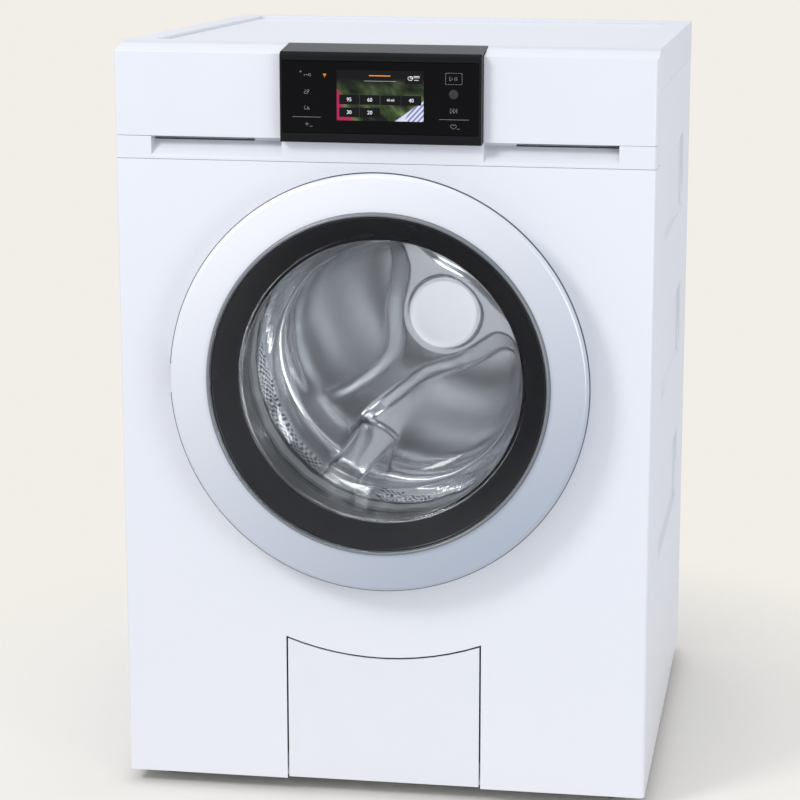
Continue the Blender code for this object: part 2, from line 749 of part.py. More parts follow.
def make_front_panel():
    panel = extruded(
        "front_panel", [wrap_outline(PANEL_WALL, PANEL_WALL, RETURN_DEPTH)], "Z",
        FEET_GAP, PANEL_TOP_Z, "white_paint",
    )
    opening = cylinder(
        "door_opening_cut", OPENING_RADIUS, (0, -OVERRUN, DOOR_Z), (0, OVERRUN, DOOR_Z),
        steps=TURN_STEPS, collection=cutters,
    )
    flap = extruded(
        "flap_cut", [flap_outline(FLAP_HALF + FLAP_GAP, FLAP_ARC_RADIUS - FLAP_GAP, -OVERRUN)],
        "Y", -OVERRUN, OVERRUN, collection=cutters,
    )
    stem_half = HINGE_STEM_WALL / 2 + HOLE_CLEARANCE
    hinge = box(
        "hinge_slot_cut",
        (HINGE_STEM_X - stem_half, -OVERRUN, DOOR_Z - HINGE_EYE_HALF - HOLE_CLEARANCE),
        (HINGE_STEM_X + stem_half, OVERRUN, DOOR_Z + HINGE_EYE_HALF + HOLE_CLEARANCE),
        collection=cutters,
    )
    catch = box(
        "catch_slot_cut", (LOCK_SLOT_LOW_X, -OVERRUN, DOOR_Z - LOCK_SLOT_HALF),
        (LOCK_SLOT_HIGH_X, OVERRUN, DOOR_Z + LOCK_SLOT_HALF), collection=cutters,
    )
    return cut(panel, opening, flap, hinge, catch)


def make_grip_strip():
    strip = extruded(
        "grip_strip", [wrap_outline(STRIP_FRONT_WALL, STRIP_SIDE_WALL, RETURN_DEPTH)], "Z",
        PANEL_TOP_Z + GAP, STRIP_TOP_Z, "white_plastic",
    )
    scoops = []
    for side in SIDES:
        ends = sorted((side * RECESS_INNER_X, side * RECESS_OUTER_X))
        scoop = [
            (-OVERRUN, RECESS_LOW_Z), (0.0, RECESS_LOW_Z), (RECESS_DEPTH, RECESS_HIGH_Z),
            (RECESS_DEPTH, STRIP_TOP_Z + OVERRUN), (-OVERRUN, STRIP_TOP_Z + OVERRUN),
        ]
        scoops.append(extruded("recess_cut", [scoop], "X", *ends, collection=cutters))
        ends = sorted((side * SLOT_INNER_X, side * RECESS_OUTER_X))
        slot = rectangle(0.0, RECESS_HIGH_Z, SLOT_DEPTH, STRIP_TOP_Z + OVERRUN)
        scoops.append(extruded("slot_cut", [slot], "X", *ends, collection=cutters))
    return cut(strip, *scoops)


def bevel_z(depth):
    """Height of the long bevel that runs from the control panel up to the lid."""
    return BEVEL_START_Z + BEVEL_SLOPE * depth


def panel_half(name, start, end, hollow_start, hollow_end, back, hollow_back):
    """One half of the control panel: a sloping-topped block, hollowed from behind and below."""
    block = [
        (0.0, FASCIA_LOW_Z), (0.0, BEVEL_START_Z), (SPLIT_DEPTH - GAP, bevel_z(SPLIT_DEPTH - GAP)),
    ] + back
    half = extruded(name, [block], "X", start, end, "white_plastic")
    hollow = [
        (FASCIA_WALL, FASCIA_LOW_Z - OVERRUN), (FASCIA_WALL, BEVEL_START_Z - FASCIA_WALL),
    ] + hollow_back
    core = extruded("panel_hollow_cut", [hollow], "X", hollow_start, hollow_end, collection=cutters)
    return cut(half, core)


def make_fascia_right():
    """The fixed half, whose cheek wraps round the cabinet's side."""
    deep = RETURN_DEPTH + OVERRUN
    under_lid = LID_WALL + GAP
    return panel_half(
        "fascia_right", FASCIA_INNER_X, HALF_WIDTH,
        FASCIA_INNER_X - OVERRUN, HALF_WIDTH - FASCIA_WALL,
        [(SPLIT_DEPTH - GAP, bevel_z(SPLIT_DEPTH) - under_lid), (BEVEL_DEPTH, HEIGHT - under_lid),
         (RETURN_DEPTH, HEIGHT - under_lid), (RETURN_DEPTH, FASCIA_LOW_Z)],
        [(SPLIT_DEPTH, bevel_z(SPLIT_DEPTH) - FASCIA_WALL), (SPLIT_DEPTH, HEIGHT + OVERRUN),
         (deep, HEIGHT + OVERRUN), (deep, FASCIA_LOW_Z - OVERRUN)],
    )


def make_drawer_front():
    """The moving half, in front of the detergent tray."""
    deep = SPLIT_DEPTH + OVERRUN
    return panel_half(
        "drawer_front", -HALF_WIDTH, -FASCIA_INNER_X,
        -HALF_WIDTH + FASCIA_WALL, -FASCIA_INNER_X - FASCIA_WALL,
        [(SPLIT_DEPTH - GAP, FASCIA_LOW_Z)],
        [(deep, bevel_z(deep) - FASCIA_WALL), (deep, FASCIA_LOW_Z - OVERRUN)],
    )


def make_control_carrier():
    """The frame behind the panel halves, with the drawer's mouth and a window for the display."""
    right_x = HALF_WIDTH - FASCIA_WALL - GAP
    top_z = bevel_z(CARRIER_DEPTH) - LID_WALL - GAP
    cheek = [
        (CARRIER_DEPTH, FASCIA_LOW_Z), (CARRIER_DEPTH, top_z), (BEVEL_DEPTH, HEIGHT - LID_WALL - GAP),
        (RETURN_DEPTH, HEIGHT - LID_WALL - GAP), (RETURN_DEPTH, FASCIA_LOW_Z),
    ]
    wall = [
        rectangle(-HALF_WIDTH, FASCIA_LOW_Z, right_x, top_z),
        rectangle(
            TRAY_LEFT_X - DISPENSER_CLEARANCE, TRAY_LOW_Z - DISPENSER_CLEARANCE,
            TRAY_RIGHT_X + DISPENSER_CLEARANCE, TRAY_HIGH_Z + DISPENSER_CLEARANCE,
        ),
        rectangle(-SCREEN_HALF, SCREEN_LOW_Z, SCREEN_HALF, SCREEN_HIGH_Z),
    ]
    carrier = extruded(
        "control_carrier", wall, "Y", CARRIER_DEPTH, CARRIER_DEPTH + CARRIER_WALL, "white_plastic",
    )
    cheeks = [
        extruded("carrier_cheek", [cheek], "X", start, start + CARRIER_WALL, collection=cutters)
        for start in (-HALF_WIDTH, right_x - CARRIER_WALL)
    ]
    return join(carrier, *cheeks)


def make_display():
    section = [
        (-DISPLAY_PROUD, DISPLAY_LOW_Z), (-DISPLAY_PROUD, DISPLAY_SHOULDER_Z),
        (-DISPLAY_SHOULDER_PROUD, DISPLAY_SHOULDER_Z + DISPLAY_PROUD - DISPLAY_SHOULDER_PROUD),
        (DISPLAY_TOP_DEPTH, DISPLAY_HIGH_Z), (BEVEL_DEPTH, HEIGHT),
        (BEVEL_DEPTH, HEIGHT - LID_WALL), (DISPLAY_BACK_DEPTH, bevel_z(DISPLAY_BACK_DEPTH) - LID_WALL),
        (DISPLAY_BACK_DEPTH, DISPLAY_LOW_Z + FASCIA_WALL), (0.0, DISPLAY_LOW_Z + FASCIA_WALL),
        (-GAP, DISPLAY_LOW_Z),
    ]
    housing = extruded("display_housing", [section], "X", -DISPLAY_HALF, DISPLAY_HALF, "black_gloss")
    pane_back = -DISPLAY_PROUD + PANE_WALL
    recess = box(
        "pane_recess_cut", (PANE_LEFT_X, -DISPLAY_PROUD - OVERRUN, PANE_LOW_Z),
        (PANE_RIGHT_X, pane_back + GAP, PANE_HIGH_Z), collection=cutters,
    )
    window = box(
        "screen_window_cut", (-SCREEN_HALF, -DISPLAY_PROUD - OVERRUN, SCREEN_LOW_Z),
        (SCREEN_HALF, DISPLAY_BACK_DEPTH + OVERRUN, SCREEN_HIGH_Z), collection=cutters,
    )
    cut(housing, recess, window)
    pane = box(
        "display_glass", (PANE_LEFT_X + GAP, -DISPLAY_PROUD, PANE_LOW_Z + GAP),
        (PANE_RIGHT_X - GAP, pane_back, PANE_HIGH_Z - GAP), "black_gloss",
    )
    screen = box(
        "display_screen", (-SCREEN_HALF + GAP, pane_back + GAP, SCREEN_LOW_Z + GAP),
        (SCREEN_HALF - GAP, pane_back + GAP + SCREEN_WALL, SCREEN_HIGH_Z - GAP), "screen",
    )
    return housing, pane, screen


def make_control_board():
    board = box(
        "control_board", (-BOARD_HALF, BOARD_DEPTH, BOARD_LOW_Z),
        (BOARD_HALF, BOARD_DEPTH + BOARD_WALL, BOARD_HIGH_Z), "circuit_board",
    )
    added = []
    for side in SIDES:
        for low_z in (BOARD_LOW_Z, BOARD_HIGH_Z - POST_SIDE):
            x = side * (BOARD_HALF - POST_SIDE)
            added.append(box(
                "board_post", (x - POST_SIDE / 2, CARRIER_DEPTH + CARRIER_WALL + GAP, low_z),
                (x + POST_SIDE / 2, BOARD_DEPTH + BOARD_WALL / 2, low_z + POST_SIDE), collection=cutters,
            ))
    for number in range(CHIP_COUNT):
        x = (number - (CHIP_COUNT - 1) / 2) * 2 * CHIP_SIDE
        middle = (BOARD_LOW_Z + BOARD_HIGH_Z) / 2
        added.append(box(
            "board_chip", (x - CHIP_SIDE / 2, BOARD_DEPTH + BOARD_WALL / 2, middle - CHIP_SIDE / 2),
            (x + CHIP_SIDE / 2, BOARD_DEPTH + BOARD_WALL + CHIP_WALL, middle + CHIP_SIDE / 2),
            collection=cutters,
        ))
    return join(board, *added)


def make_lid():
    """The top frame, its sloping front lip round the display, and the plate let into it."""
    section = [
        (CARRIER_DEPTH, bevel_z(CARRIER_DEPTH) - LID_WALL), (CARRIER_DEPTH, bevel_z(CARRIER_DEPTH)),
        (BEVEL_DEPTH, HEIGHT), (LID_REAR_DEPTH, HEIGHT), (LID_REAR_DEPTH, LID_SKIRT_Z),
        (LID_REAR_DEPTH - LID_WALL, LID_SKIRT_Z),
        (LID_REAR_DEPTH - LID_WALL, HEIGHT - LID_WALL - LID_RECESS),
        (RETURN_DEPTH, HEIGHT - LID_WALL - LID_RECESS), (RETURN_DEPTH, HEIGHT - LID_WALL),
        (BEVEL_DEPTH, HEIGHT - LID_WALL),
    ]
    frame = extruded("top_frame", [section], "X", -HALF_WIDTH, HALF_WIDTH, "white_plastic")
    skirts = []
    for side in SIDES:
        ends = sorted((side * HALF_WIDTH, side * (HALF_WIDTH - LID_WALL)))
        skirt = rectangle(RETURN_DEPTH + GAP, LID_SKIRT_Z, LID_REAR_DEPTH, HEIGHT - LID_WALL)
        skirts.append(extruded("lid_skirt", [skirt], "X", *ends, collection=cutters))
    join(frame, *skirts)
    inner_x = HALF_WIDTH - LID_BORDER
    inner = rounded(
        -inner_x, BEVEL_DEPTH + LID_BORDER, inner_x, LID_REAR_DEPTH - LID_BORDER, CORNER_RADIUS,
    )
    recess = extruded(
        "lid_recess_cut", [inner], "Z", HEIGHT - LID_RECESS - LID_PLATE_WALL, HEIGHT + OVERRUN,
        collection=cutters,
    )
    ledge_x = inner_x - LID_LEDGE
    window = rounded(
        -ledge_x, BEVEL_DEPTH + LID_BORDER + LID_LEDGE, ledge_x,
        LID_REAR_DEPTH - LID_BORDER - LID_LEDGE, CORNER_RADIUS,
    )
    opening = extruded(
        "lid_window_cut", [window], "Z", LID_SKIRT_Z, HEIGHT + OVERRUN, collection=cutters,
    )
    notch = box(
        "display_notch_cut", (-DISPLAY_HALF - GAP, 0.0, LID_SKIRT_Z),
        (DISPLAY_HALF + GAP, BEVEL_DEPTH + GAP, HEIGHT + OVERRUN), collection=cutters,
    )
    cut(frame, recess, opening, notch)
    plate_outline = rounded(
        -inner_x + GAP, BEVEL_DEPTH + LID_BORDER + GAP, inner_x - GAP,
        LID_REAR_DEPTH - LID_BORDER - GAP, CORNER_RADIUS,
    )
    plate_low = HEIGHT - LID_RECESS - LID_PLATE_WALL + GAP
    plate = extruded(
        "top_plate", [plate_outline], "Z", plate_low, HEIGHT - LID_RECESS, "white_paint",
    )
    return frame, plate


def pressed_sheet(name, across_cuts, up_cuts, fields, sink, wall, place, material):
    """A sheet with rectangular fields pressed in. A place turns (across, up, inwards) into X, depth, Z."""
    work = bmesh.new()
    grid = {}
    for i, across in enumerate(across_cuts):
        for j, up in enumerate(up_cuts):
            sunk = any(a <= across <= c and b <= up <= d for a, b, c, d in fields)
            x, depth, z = place(across, up, sink if sunk else 0.0)
            grid[i, j] = work.verts.new((x, depth_y(depth), z))
    for i in range(len(across_cuts) - 1):
        for j in range(len(up_cuts) - 1):
            work.faces.new((grid[i, j], grid[i + 1, j], grid[i + 1, j + 1], grid[i, j + 1]))
    bmesh.ops.recalc_face_normals(work, faces=work.faces)
    mesh = bpy.data.meshes.new(name)
    work.to_mesh(mesh)
    work.free()
    obj = bpy.data.objects.new(name, mesh)
    bpy.context.scene.collection.objects.link(obj)
    shell = obj.modifiers.new("wall", "SOLIDIFY")
    shell.thickness = wall
    shell.offset = 0.0
    return named(solid_mesh(obj), name, material)


def make_side_panel(side):
    """A side sheet with three pressed fields and a folded flange at each upright edge."""
    name = "side_panel_left" if side < 0 else "side_panel_right"
    front = RETURN_DEPTH + GAP
    fields, up_cuts = [], [FEET_GAP]
    for low, high in SIDE_FIELDS_Z:
        fields.append((
            SIDE_FIELD_FRONT + SIDE_FIELD_BEVEL, low + SIDE_FIELD_BEVEL,
            SIDE_FIELD_REAR - SIDE_FIELD_BEVEL, high - SIDE_FIELD_BEVEL,
        ))
        up_cuts += [low, low + SIDE_FIELD_BEVEL, high - SIDE_FIELD_BEVEL, high]
    up_cuts.append(LID_SKIRT_Z - GAP)
    across_cuts = [
        front, SIDE_FIELD_FRONT, SIDE_FIELD_FRONT + SIDE_FIELD_BEVEL,
        SIDE_FIELD_REAR - SIDE_FIELD_BEVEL, SIDE_FIELD_REAR, SIDE_REAR_DEPTH,
    ]
    face_x = HALF_WIDTH - SIDE_WALL / 2
    sheet = pressed_sheet(
        name, across_cuts, up_cuts, fields, SIDE_FIELD_SINK, SIDE_WALL,
        lambda across, up, inwards: (side * (face_x - inwards), across, up), "white_paint",
    )
    flanges = []
    for start, end in ((front, front + SIDE_WALL), (SIDE_REAR_DEPTH - SIDE_WALL, SIDE_REAR_DEPTH)):
        ends = sorted((side * (HALF_WIDTH - SIDE_WALL / 4), side * (HALF_WIDTH - SIDE_FLANGE)))
        flanges.append(box(
            "side_flange", (ends[0], start, FEET_GAP), (ends[1], end, LID_SKIRT_Z - GAP),
            collection=cutters,
        ))
    return join(sheet, *flanges)


def make_rear():
    """The rear sheet between the side panels' flanges, its service opening and the cover."""
    half = HALF_WIDTH - SIDE_WALL - GAP
    opening_x = COVER_HALF - COVER_OPENING_MARGIN
    sheet = [
        rectangle(-half, REAR_LOW_Z, half, REAR_HIGH_Z),
        rounded(-opening_x, COVER_LOW_Z + COVER_OPENING_MARGIN, opening_x,
                COVER_HIGH_Z - COVER_OPENING_MARGIN, CORNER_RADIUS),
    ]
    panel = extruded(
        "rear_panel", sheet, "Y", REAR_PANEL_DEPTH, REAR_PANEL_DEPTH + REAR_WALL, "galvanised",
    )
    hem = [
        box("rear_hem", (-half, REAR_PANEL_DEPTH - REAR_FLANGE, z),
            (half, REAR_PANEL_DEPTH + REAR_WALL / 2, z + REAR_WALL), collection=cutters)
        for z in (REAR_LOW_Z, REAR_HIGH_Z - REAR_WALL)
    ]
    join(panel, *hem)
    nozzle_hole = cylinder(
        "nozzle_hole_cut", VALVE_NOSE_RADIUS + HOLE_CLEARANCE,
        (VALVE_X, REAR_PANEL_DEPTH - OVERRUN, VALVE_Z), (VALVE_X, REAR_PANEL_DEPTH + OVERRUN, VALVE_Z),
        steps=FOOT_STEPS, collection=cutters,
    )
    drain_hole = cylinder(
        "drain_hole_cut", DRAIN_RADIUS + HOLE_CLEARANCE,
        (DRAIN_X, REAR_PANEL_DEPTH - OVERRUN, DRAIN_SPOUT_Z),
        (DRAIN_X, REAR_PANEL_DEPTH + OVERRUN, DRAIN_SPOUT_Z), steps=FOOT_STEPS, collection=cutters,
    )
    cut(panel, nozzle_hole, drain_hole)
    start = REAR_PANEL_DEPTH + REAR_WALL + GAP + REAR_WALL / 2
    proud = DEPTH - REAR_WALL / 2 - start
    inner = COVER_RIM + COVER_BEVEL
    across = [
        -COVER_HALF, -COVER_HALF + COVER_RIM, -COVER_HALF + inner,
        COVER_HALF - inner, COVER_HALF - COVER_RIM, COVER_HALF,
    ]
    up = [
        COVER_LOW_Z, COVER_LOW_Z + COVER_RIM, COVER_LOW_Z + inner,
        COVER_HIGH_Z - inner, COVER_HIGH_Z - COVER_RIM, COVER_HIGH_Z,
    ]
    field = (across[2], up[2], across[3], up[3])
    cover = pressed_sheet(
        "rear_cover", across, up, [field], proud, REAR_WALL,
        lambda x, z, outwards: (x, start + outwards, z), "galvanised",
    )
    slots = []
    middle = (COVER_LOW_Z + COVER_HIGH_Z) / 2
    for number in range(LOUVRE_COUNT):
        low = middle + (number - (LOUVRE_COUNT - 1) / 2) * LOUVRE_PITCH
        slots.append(box(
            "louvre_cut", (-LOUVRE_LENGTH / 2, start - OVERRUN, low),
            (LOUVRE_LENGTH / 2, DEPTH + OVERRUN, low + LOUVRE_HEIGHT), collection=cutters,
        ))
    return panel, cut(cover, *slots)


def make_base():
    """A steel pan under the machine, with a boss for each foot and a bracket under each damper."""
    half = HALF_WIDTH - SIDE_FLANGE - GAP
    rear = REAR_PANEL_DEPTH - REAR_FLANGE - BASE_INSET
    pan = box(
        "base_frame", (-half, BASE_FRONT_DEPTH, FEET_GAP + GAP),
        (half, rear, FEET_GAP + BASE_HEIGHT), "galvanised",
    )
    hollow = box(
        "pan_hollow_cut", (-half + BASE_WALL, BASE_FRONT_DEPTH + BASE_WALL, FEET_GAP + BASE_WALL),
        (half - BASE_WALL, rear - BASE_WALL, FEET_GAP + BASE_HEIGHT + OVERRUN), collection=cutters,
    )
    cut(pan, hollow)
    seats = []
    for x, depth in foot_places():
        seats.append(cylinder(
            "foot_boss", FOOT_BOSS_RADIUS, (x, depth, FEET_GAP + BASE_WALL / 2),
            (x, depth, FEET_GAP + BASE_HEIGHT), steps=FOOT_STEPS, collection=cutters,
        ))
    for side in SIDES:
        seats.append(box(
            "damper_seat",
            (side * DAMPER_X - DAMPER_TUBE_RADIUS, DAMPER_DEPTH - DAMPER_TUBE_RADIUS,
             FEET_GAP + BASE_WALL / 2),
            (side * DAMPER_X + DAMPER_TUBE_RADIUS, DAMPER_DEPTH + DAMPER_TUBE_RADIUS,
             FEET_GAP + BASE_HEIGHT), collection=cutters,
        ))
    join(pan, *seats, *damper_tubes(), *flap_ears())
    pin_hole = cylinder(
        "flap_pin_cut", FLAP_PIN_RADIUS + GAP,
        (-FLAP_HALF, FLAP_AXIS_DEPTH, FEET_GAP + FLAP_AXIS_LIFT),
        (FLAP_HALF, FLAP_AXIS_DEPTH, FEET_GAP + FLAP_AXIS_LIFT), steps=EYE_STEPS, collection=cutters,
    )
    holes = [
        cylinder("foot_hole_cut", FOOT_BORE, (x, depth, 0.0), (x, depth, FOOT_SCREW_TOP_Z),
                 steps=FOOT_STEPS, collection=cutters)
        for x, depth in foot_places()
    ]
    return cut(pan, pin_hole, *holes)


def foot_places():
    return [(side * FOOT_X, depth) for depth in FOOT_DEPTHS for side in SIDES]


def make_feet():
    """Four screw feet, each a rubber-footed pad on a threaded stem."""
    feet = []
    for name, (x, depth) in zip(FOOT_NAMES, foot_places()):
        profile = [
            (0.0, 0.0), (FOOT_RADIUS, 0.0), (FOOT_RADIUS, FOOT_PAD_HEIGHT / 2),
            (FOOT_RADIUS * FOOT_CROWN_SHARE, FOOT_PAD_HEIGHT), (FOOT_NUT_RADIUS, FOOT_PAD_HEIGHT),
            (FOOT_NUT_RADIUS, FEET_GAP), (FOOT_SCREW_RADIUS, FEET_GAP),
            (FOOT_SCREW_RADIUS, FOOT_SCREW_TOP_Z), (0.0, FOOT_SCREW_TOP_Z),
        ]
        foot = turned(name, profile, "black_rubber", FOOT_STEPS, (0.0, 0.0))
        foot.matrix_world = Matrix.Translation((x, depth_y(depth), 0.0))
        feet.append(foot)
    return feet


def make_drawer():
    """The tray with three compartments, open at the top, and the siphon cap in the middle one."""
    front = FASCIA_WALL + GAP
    tray = box(
        "drawer_tray", (TRAY_LEFT_X, front, TRAY_LOW_Z), (TRAY_RIGHT_X, TRAY_REAR_DEPTH, TRAY_HIGH_Z),
        "grey_plastic",
    )
    bounds = (TRAY_LEFT_X,) + TRAY_SPLIT_X + (TRAY_RIGHT_X,)
    wells = []
    for left, right in zip(bounds, bounds[1:]):
        wells.append(box(
            "well_cut", (left + TRAY_WALL, SPLIT_DEPTH + TRAY_WALL, TRAY_LOW_Z + TRAY_WALL),
            (right - TRAY_WALL, TRAY_REAR_DEPTH - TRAY_WALL, TRAY_HIGH_Z + OVERRUN), collection=cutters,
        ))
    cut(tray, *wells)
    left, right = TRAY_SPLIT_X
    cap = box(
        "siphon_cap", (left + TRAY_WALL + GAP, TRAY_REAR_DEPTH - TRAY_WALL - SIPHON_LENGTH,
                       SIPHON_HIGH_Z - SIPHON_WALL),
        (right - TRAY_WALL - GAP, TRAY_REAR_DEPTH - TRAY_WALL - GAP, SIPHON_HIGH_Z), "grey_plastic",
    )
    middle = (left + right) / 2
    depth = TRAY_REAR_DEPTH - TRAY_WALL - SIPHON_LENGTH / 2
    pipe = cylinder(
        "siphon_pipe", SIPHON_PIPE_RADIUS, (middle, depth, TRAY_LOW_Z + TRAY_WALL + GAP),
        (middle, depth, SIPHON_HIGH_Z - SIPHON_WALL / 2), steps=FOOT_STEPS, collection=cutters,
    )
    return tray, join(cap, pipe)


def make_dispenser():
    """The box that the tray slides in, with a spout down to the tub's hose and a water inlet."""
    gap = DISPENSER_CLEARANCE
    wall = DISPENSER_WALL
    front = CARRIER_DEPTH + CARRIER_WALL + GAP
    low = (TRAY_LEFT_X - gap - wall, front, TRAY_LOW_Z - gap - wall)
    high = (TRAY_RIGHT_X + gap + wall, DISPENSER_REAR_DEPTH, TRAY_HIGH_Z + gap + wall)
    case = box("dispenser_box", low, high, "white_plastic")
    hollow = box(
        "dispenser_hollow_cut", (low[0] + wall, front - OVERRUN, low[2] + wall),
        (high[0] - wall, DISPENSER_REAR_DEPTH - wall, high[2] - wall), collection=cutters,
    )
    cut(case, hollow)
    spout = cylinder(
        "spout", SPOUT_RADIUS, (SPOUT_X, SPOUT_DEPTH, low[2] - SPOUT_HEIGHT),
        (SPOUT_X, SPOUT_DEPTH, low[2] + wall / 2), steps=FOOT_STEPS, collection=cutters,
    )
    join(case, spout)
    bore = cylinder(
        "spout_cut", SPOUT_BORE, (SPOUT_X, SPOUT_DEPTH, low[2] - SPOUT_HEIGHT - OVERRUN),
        (SPOUT_X, SPOUT_DEPTH, low[2] + wall + gap), steps=FOOT_STEPS, collection=cutters,
    )
    return cut(case, bore)


def ring_wall_radius(proud):
    """Outer radius of the ring's undercut wall at a height in front of the panel."""
    share = (proud - RING_BACK_PROUD) / (RING_EDGE_PROUD - RING_BACK_PROUD)
    return RING_BACK_RADIUS + (RING_RADIUS - RING_BACK_RADIUS) * share


def make_door_skins():
    """Silver ring with its undercut wall, the raised grey rim and the black conical bezel."""
    edge = RING_FACE_PROUD - RING_EDGE_PROUD
    ring = turned("door_ring", [
        (RING_BACK_RADIUS, -RING_BACK_PROUD), (RING_RADIUS, -RING_EDGE_PROUD),
        (RING_RADIUS - edge / 4, -RING_EDGE_PROUD - edge * 3 / 4), (RING_RADIUS - edge, -RING_FACE_PROUD),
        (RING_INNER, -RING_INNER_PROUD), (RING_INNER, -RING_INNER_PROUD + RING_WALL),
        (RING_RADIUS - edge, -RING_FACE_PROUD + RING_WALL),
        (RING_RADIUS - RING_WALL, -RING_EDGE_PROUD), (RING_BACK_RADIUS - RING_WALL, -RING_BACK_PROUD),
    ], "silver_trim")
    relief = box(
        "hinge_relief_cut",
        (-RING_RADIUS - OVERRUN, -HINGE_RELIEF_PROUD, DOOR_Z - HINGE_SLOT_HALF),
        (HINGE_X, OVERRUN, DOOR_Z + HINGE_SLOT_HALF), collection=cutters,
    )
    cut(ring, relief)
    crest = DOOR_PROUD
    rim_outer = RING_INNER - GAP
    rim = turned("door_rim", [
        (RIM_INNER, -BEZEL_FRONT_PROUD), (RIM_INNER + RIM_WALL / 5, -crest + GAP),
        (RIM_INNER + RIM_WALL / 2, -crest), (rim_outer, -crest + RIM_WALL / 4),
        (rim_outer, -RING_INNER_PROUD + RIM_WALL), (RIM_INNER, -RING_INNER_PROUD + RIM_WALL),
    ], "grey_trim")
    bezel_outer = RIM_INNER - GAP
    bezel = turned("door_bezel", [
        (bezel_outer, -BEZEL_FRONT_PROUD), (BEZEL_INNER, -BEZEL_BACK_PROUD),
        (BEZEL_INNER + BEZEL_WALL, -BEZEL_BACK_PROUD),
        (bezel_outer, -BEZEL_FRONT_PROUD + BEZEL_WALL),
    ], "black_gloss")
    return ring, rim, bezel


def glass_front_proud():
    return BEZEL_BACK_PROUD - GAP


def make_door_glass():
    """The bowl: a flange held between bezel and back ring, then a deep dish with a round corner."""
    front = glass_front_proud()
    corner_radius = BOWL_RADIUS - BOWL_CORNER
    corner_depth = BOWL_DEPTH - BOWL_CROWN - BOWL_CORNER
    outer = [(GLASS_FLANGE, -front + GLASS_WALL), (GLASS_NECK + GLASS_WALL / 2, -front + GLASS_WALL),
             (GLASS_NECK, GLASS_WALL)]
    outer += arc((corner_radius, corner_depth), BOWL_CORNER, 0, 90, BOWL_STEPS)
    outer += [(corner_radius / 2, BOWL_DEPTH - BOWL_CROWN / 4), (0.0, BOWL_DEPTH)]
    inner_corner = BOWL_CORNER - GLASS_WALL
    inner = [(0.0, BOWL_DEPTH - GLASS_WALL), (corner_radius / 2, BOWL_DEPTH - BOWL_CROWN / 4 - GLASS_WALL)]
    inner += arc((corner_radius, corner_depth), inner_corner, 90, 0, BOWL_STEPS)
    inner += [(GLASS_NECK - GLASS_WALL, GLASS_WALL / 2), (GLASS_NECK - GLASS_WALL / 2, -front),
              (GLASS_FLANGE, -front)]
    profile = outer[outer.index((0.0, BOWL_DEPTH))::-1]
    return turned("door_glass", profile + inner[:0:-1] + inner[:1], "clear_glass")


def make_door_back():
    """The ring that clamps the glass, with a gap for the hinge's stem, and the catch hook."""
    outer = ring_wall_radius(BACK_RING_PROUD + BACK_RING_WALL) - RING_WALL
    outer = min(outer, RING_BACK_RADIUS - RING_WALL) - GAP
    ring = turned("door_back_ring", [
        (BACK_RING_INNER, -BACK_RING_PROUD), (outer, -BACK_RING_PROUD),
        (outer, -BACK_RING_PROUD - BACK_RING_WALL), (BACK_RING_INNER, -BACK_RING_PROUD - BACK_RING_WALL),
    ], "grey_plastic")
    relief = box(
        "back_ring_cut", (-RING_RADIUS, -RING_FACE_PROUD, DOOR_Z - HINGE_SLOT_HALF),
        (HINGE_WEB_X, OVERRUN, DOOR_Z + HINGE_SLOT_HALF), collection=cutters,
    )
    cut(ring, relief)
    low, high = DOOR_Z - HOOK_HALF, DOOR_Z + HOOK_HALF
    x = HOOK_X - HOOK_WALL / 2
    section = [
        (x, -BACK_RING_PROUD - BACK_RING_WALL / 2), (x, HOOK_REACH), (x + HOOK_WALL / 2, HOOK_REACH),
        (x + HOOK_WALL + HOOK_BARB, HOOK_REACH - HOOK_WALL),
        (x + HOOK_WALL, HOOK_REACH - HOOK_WALL), (x + HOOK_WALL, -BACK_RING_PROUD - BACK_RING_WALL / 2),
    ]
    hook = extruded("door_hook", [section], "Z", low, high, collection=cutters)
    return join(ring, hook)


def hinge_point(z):
    return (HINGE_X, -HINGE_PROUD, z)


